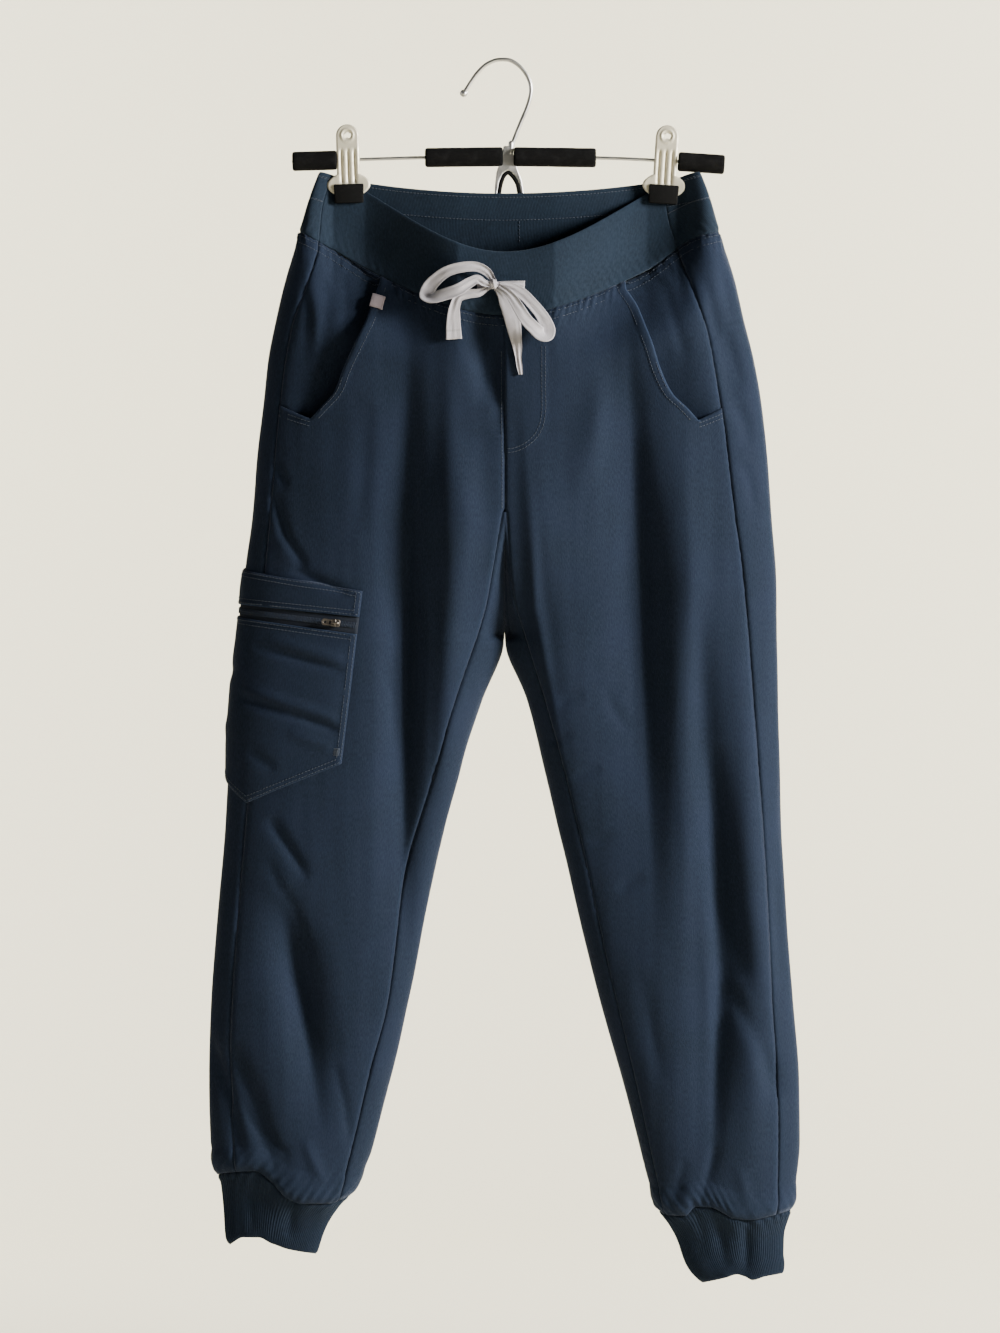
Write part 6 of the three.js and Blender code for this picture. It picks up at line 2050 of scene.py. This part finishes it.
def jaw(side):
    """One pressed plate of a clip: domed, grooved, with a rivet hole, its edges turned in."""
    heights = np.concatenate([
        CLIP["top"] - CLIP["half"] * (1 - np.cos(np.linspace(0.04, np.pi / 2, 14))),
        np.linspace(CLIP["top"] - CLIP["half"], CLIP["wing_top"], 22)[1:],
        CLIP["wing_top"] - (CLIP["wing_top"] - CLIP["foot"])
        * (1 - np.cos(np.linspace(0, np.pi, 20))) [1:] / 2,
    ])
    across = np.sin(np.linspace(-np.pi / 2, np.pi / 2, 41))
    across = mix(across, np.linspace(-1, 1, 41), 0.6)
    z, u = np.meshgrid(heights, across, indexing="ij")
    x = u * jaw_half_width(z)
    edge = (1 - np.abs(u)) * jaw_half_width(z)
    edge = np.minimum(edge, np.minimum(CLIP["top"] + 0.2 - z, z - CLIP["foot"] + 0.3))
    far = CLIP["inside"] + CLIP["plate"]
    out = far - 0.9 * (1 - smooth(0, 1.6, edge)) ** 1.5
    grooves = np.zeros(x.shape)
    for middle in (-5.7, 0, 5.7):
        here = bell(x, middle, 1.15)
        grooves -= 1.8 * here * smooth(-23, -19, z) * (1 - smooth(6, 10, z))
    grooves -= 0.5 * bell(z, CLIP["wing_top"] - 1.5, 1.6) * smooth(10, 12, np.abs(x))
    from_hole = np.hypot(x, z - CLIP["hole_height"])
    raised = 0.9 * bell(from_hole, 5.2, 0.8)
    raised -= 0.35 * (1 - smooth(3.2, 4.4, from_hole))
    out = out + grooves + raised
    inside = from_hole < CLIP["hole"]
    scale = np.where(inside & (from_hole > CLIP["hole"] - 0.9), CLIP["hole"] / from_hole, 1)
    x, z = x * scale, CLIP["hole_height"] + (z - CLIP["hole_height"]) * scale
    points = np.stack([x, side * out, z], axis=-1)
    normals = np.broadcast_to(np.array([0.0, side, 0.0]), points.shape)
    centre = from_hole[:-1, :-1] + from_hole[1:, 1:] + from_hole[:-1, 1:] + from_hole[1:, :-1]
    cells = plain_cells(x.shape, centre / 4 > CLIP["hole"] - 0.4)
    return points, normals, cells, np.stack([x, z, z * 0], axis=-1)


def clip(name, bar_x, lean):
    matrix = clip_matrix(bar_x, lean)
    turn = np.array(matrix)[:3, :3]
    for face, side in (("front", -1), ("back", 1)):
        points, normals, cells, cut = jaw(side)
        points = points @ turn.T + np.array(matrix)[:3, 3]
        mesh = shell_mesh(f"clip_{name}_{face}_plate", points, normals @ turn.T, 0.95, cells, cut)
        piece = place_object(mesh.name, sharp_smooth(mesh, 50), "clip")
        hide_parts(f"clip_{name}_{face}_jaw")
        boot(f"clip_{name}_{face}_tip", side, matrix, f"clip_{name}_{face}_boot")
    coil(f"clip_{name}_coil", bar_x, f"clip_{name}_spring")


def boot(name, side, matrix, node):
    """A rubber boot folded up both faces of a jaw's tip, fuller at its foot."""
    middle = (BOOT["inside"] + BOOT["outside"]) / 2
    deep = BOOT["outside"] - BOOT["inside"]
    tall = BOOT["top"] - BOOT["foot"]
    points, faces = soft_block((2 * BOOT["half"], deep, tall), (0, 0, 0), 1.1)
    low = clamp01(0.5 - points[:, 2] / tall)
    points[:, 0] *= 1 - 0.05 * low**2
    points[:, 1] *= mix(0.97, 1.0, low)
    points = points + np.array([0, side * middle, (BOOT["top"] + BOOT["foot"]) / 2])
    hard_piece(name, [moved((points, faces), matrix)], "rubber", node)


def coil(name, bar_x, node):
    """The clip's torsion spring, wound round the bar."""
    turns, wire = 8.5, 0.85
    t = np.linspace(0, 1, int(turns * 18))
    radius = CLIP["barrel"] - wire
    angle = t * turns * 2 * np.pi
    x = bar_x + (t - 0.5) * (CLIP["length"] - 2 * wire)
    path = np.stack([x, radius * np.cos(angle), bar_height(x) + radius * np.sin(angle)], axis=1)
    hard_piece(name, [tube(path, wire, 8)], "wire", node)


# Label, stage, camera
LABEL = {"x": -111.3, "drop": 213.4, "size": 12, "tilt": 15, "stand": 2.1, "wall": 0.8}


def square_label():
    """A small bare woven square, sewn down at its four corners."""
    tilt, count = math.radians(LABEL["tilt"]), 14
    b, a = np.meshgrid(np.linspace(-0.5, 0.5, count + 1), np.linspace(-0.5, 0.5, count + 1),
                       indexing="ij")
    a, b = a * LABEL["size"], b * LABEL["size"]
    x = LABEL["x"] + a * math.cos(tilt) - b * math.sin(tilt)
    drop = LABEL["drop"] + a * math.sin(tilt) + b * math.cos(tilt)
    points, normals = front_place(x, drop, LABEL["stand"] - 0.3)
    edge = LABEL["size"] / 2 - np.maximum(np.abs(a), np.abs(b))
    corner = bell(np.hypot(np.abs(a) - 5, np.abs(b) - 5), 0, 1.6)
    points = points + normals * (0.5 * smooth(0, 4, edge) - 0.5 * corner)[..., None]
    cut = np.stack([a, b, a * 0], axis=-1)
    wear = 0.5 * bell(edge, 0.8, 0.35)
    cells = plain_cells(x.shape)
    mesh = shell_mesh("woven_square", points, normals, LABEL["wall"], cells, cut, wear)
    piece = place_object("woven_square", mesh, "label")
    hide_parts("side_label")
    return piece


def area_light(name, place, target, size, power, colour):
    light = bpy.data.lights.new(name, "AREA")
    light.shape, light.size, light.energy, light.color = "DISK", size, power, colour
    lamp = linked(name, light)
    lamp.location = place
    lamp.rotation_euler = (Vector(target) - Vector(place)).to_track_quat("-Z", "Y").to_euler()


def sweep():
    """Floor and wall in one piece, joined by a wide curve behind the garment."""
    floor, wall, bend, half = -1.5, 7.0, 1.4, 12.0
    t = np.linspace(0, np.pi / 2, 25)
    y = np.concatenate([[-half, 0.0], wall - bend + bend * np.sin(t), [wall]])
    z = np.concatenate([[floor, floor], floor + bend - bend * np.cos(t), [7.0]])
    rows = np.stack([np.full(len(y), -half), y, z], axis=1)
    grid = np.stack([rows, rows * np.array([-1, 1, 1])], axis=1).reshape(-1, 3)
    faces = [(2 * i, 2 * i + 2, 2 * i + 3, 2 * i + 1) for i in range(len(y) - 1)]
    mesh = mesh_from("backdrop", grid / MM, faces)
    mesh.materials.append(backdrop_finish("pale_paint", bpy.context.scene.joggers_stage.backdrop))
    linked("backdrop", mesh)


def even_world(strength):
    world = bpy.context.scene.world or bpy.data.worlds.new("sky")
    bpy.context.scene.world = world
    world.use_nodes = True
    sky = world.node_tree.nodes["Background"]
    sky.inputs["Color"].default_value = (0.96, 0.98, 1.0, 1)
    sky.inputs["Strength"].default_value = strength


VIEW = {"x": -4, "z": -532, "height": 1173}


def camera(distance):
    lens = bpy.data.cameras.new("view")
    lens.sensor_fit = "VERTICAL"
    lens.sensor_height = 24
    lens.lens = 24 * distance / (VIEW["height"] * MM)
    lens.clip_end = 100
    eye = linked("view", lens)
    eye.location = (VIEW["x"] * MM, -distance, VIEW["z"] * MM)
    eye.rotation_euler = (math.pi / 2, 0, 0)
    bpy.context.scene.camera = eye


# Operators, panel and main


class JOGGERS_OT_camera(bpy.types.Operator):
    """Set the camera level with the garment's middle, looking at its front"""

    bl_idname = "joggers.camera"
    bl_label = "Camera"

    def execute(self, context):
        camera(context.scene.joggers_stage.distance)
        return {"FINISHED"}


class JOGGERS_OT_drawcord(bpy.types.Operator):
    """Lay the drawcord's tails and bow, and the knot between them"""

    bl_idname = "joggers.drawcord"
    bl_label = "Drawcord"

    def execute(self, context):
        tied = knot()
        for name, route in CORD_ROUTES.items():
            is_tail = name.startswith("cord_tail")
            piece, path, length = flat_tape(name, route, is_tail)
        return {"FINISHED"}


class JOGGERS_OT_legs(bpy.types.Operator):
    """Drape the front and back panels and the cloths behind the hand pockets"""

    bl_idname = "joggers.legs"
    bl_label = "Legs"

    def execute(self, context):
        for half in (RIGHT, LEFT):
            front_panel(half)
            back_panel(half)
            hip_cloth(half)
        return {"FINISHED"}


class JOGGERS_OT_waistband(bpy.types.Operator):
    """Gather the knit waistband"""

    bl_idname = "joggers.waistband"
    bl_label = "Waistband"

    def execute(self, context):
        waistband("front")
        waistband("back")
        return {"FINISHED"}


class JOGGERS_OT_cuffs(bpy.types.Operator):
    """Knit the ribbed cuffs"""

    bl_idname = "joggers.cuffs"
    bl_label = "Cuffs"

    def execute(self, context):
        cuff(RIGHT)
        cuff(LEFT)
        return {"FINISHED"}


class JOGGERS_OT_cargo_pocket(bpy.types.Operator):
    """Sew on the cargo pocket's band and bag with the zip's tape between them"""

    bl_idname = "joggers.cargo_pocket"
    bl_label = "Cargo pocket"

    def execute(self, context):
        cargo_panel("cargo_top_cloth", cargo_top, lambda a: zip_top(a) - 0.3, 12, 0.6, False)
        cargo_panel("cargo_bag_cloth", lambda a: zip_foot(a) + 0.3, cargo_foot, 58, 2.6, True)
        zip_tape()
        return {"FINISHED"}


class JOGGERS_OT_zip(bpy.types.Operator):
    """Fit the zip's teeth, slider and pull"""

    bl_idname = "joggers.zip"
    bl_label = "Zip"

    def execute(self, context):
        zip_coil()
        zip_slider()
        zip_pull()
        return {"FINISHED"}


class JOGGERS_OT_label(bpy.types.Operator):
    """Sew on the small bare square"""

    bl_idname = "joggers.label"
    bl_label = "Label"

    def execute(self, context):
        square_label()
        return {"FINISHED"}


class JOGGERS_OT_stitching(bpy.types.Operator):
    """Run the rows of topstitching"""

    bl_idname = "joggers.stitching"
    bl_label = "Stitching"

    def execute(self, context):
        sewing_waist()
        sewing_front()
        sewing_back()
        sewing_cargo()
        sewing_cuffs()
        return {"FINISHED"}


class JOGGERS_OT_hanger(bpy.types.Operator):
    """Bend the hanger's wires, press its yoke and slip on its foam sleeves"""

    bl_idname = "joggers.hanger"
    bl_label = "Hanger"

    def execute(self, context):
        hook()
        bar()
        yoke_plates()
        for name, start, end in SLEEVES:
            sleeve(name, start, end)
        return {"FINISHED"}


class JOGGERS_OT_clips(bpy.types.Operator):
    """Close the two clips on the waistband"""

    bl_idname = "joggers.clips"
    bl_label = "Clips"

    def execute(self, context):
        for name, bar_x, lean in CLIPS:
            clip(name, bar_x, lean)
        return {"FINISHED"}


class JOGGERS_OT_stage(bpy.types.Operator):
    """Set up the floor, backdrop and soft studio light"""

    bl_idname = "joggers.stage"
    bl_label = "Stage"

    def execute(self, context):
        stage = context.scene.joggers_stage
        sweep()
        even_world(stage.sky)
        area_light("key", (3.5, -1.5, 0.5), (0, 0, -0.55), 1.2, stage.key_power, (1, 0.985, 0.96))
        area_light("fill", (-3.2, -0.7, 0.1), (0, 0, -0.6), 1.4, stage.fill_power, (0.95, 0.97, 1))
        area_light("back", (2.2, 3.4, 1.0), (0, 0, -0.6), 1.4, stage.back_power, (1, 0.985, 0.96))
        for name, side, share in (("wall_left", -1, 0.9), ("wall_right", 1, 1.06)):
            area_light(name, (side * 3.2, 4.4, 1.2), (side * 0.6, 7, -0.6), 1.6,
                       share * stage.wall_power, (1, 0.985, 0.93))
        return {"FINISHED"}


OPERATORS = (
    JOGGERS_OT_camera,
    JOGGERS_OT_drawcord,
    JOGGERS_OT_legs,
    JOGGERS_OT_waistband,
    JOGGERS_OT_cuffs,
    JOGGERS_OT_cargo_pocket,
    JOGGERS_OT_zip,
    JOGGERS_OT_label,
    JOGGERS_OT_stitching,
    JOGGERS_OT_hanger,
    JOGGERS_OT_clips,
    JOGGERS_OT_stage,
)


class JOGGERS_PT_sidebar(bpy.types.Panel):
    """Lists the joggers' settings and what can be built"""

    bl_idname = "JOGGERS_PT_sidebar"
    bl_label = "Joggers"
    bl_space_type = "VIEW_3D"
    bl_region_type = "UI"
    bl_category = "Joggers"

    def draw(self, context):
        column = self.layout.column()
        for settings in ("joggers_cloth", "joggers_hanger", "joggers_stage"):
            group = getattr(context.scene, settings)
            box = column.box()
            for name in group.__annotations__:
                box.prop(group, name)
        for operator in OPERATORS:
            column.operator(operator.bl_idname)


SETTINGS = (
    ("joggers_cloth", JoggersClothSettings),
    ("joggers_hanger", JoggersHangerSettings),
    ("joggers_stage", JoggersStageSettings),
)
CLASSES = (*(group for _, group in SETTINGS), *OPERATORS, JOGGERS_PT_sidebar)


def register():
    for cls in CLASSES:
        bpy.utils.register_class(cls)
    for name, group in SETTINGS:
        setattr(bpy.types.Scene, name, PointerProperty(type=group))


def unregister():
    for name, _ in SETTINGS:
        delattr(bpy.types.Scene, name)
    for cls in reversed(CLASSES):
        bpy.utils.unregister_class(cls)


def main():
    register()
    for operator in OPERATORS:
        family, name = operator.bl_idname.split(".")
        getattr(getattr(bpy.ops, family), name)()
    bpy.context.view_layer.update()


if __name__ == "__main__":
    main()
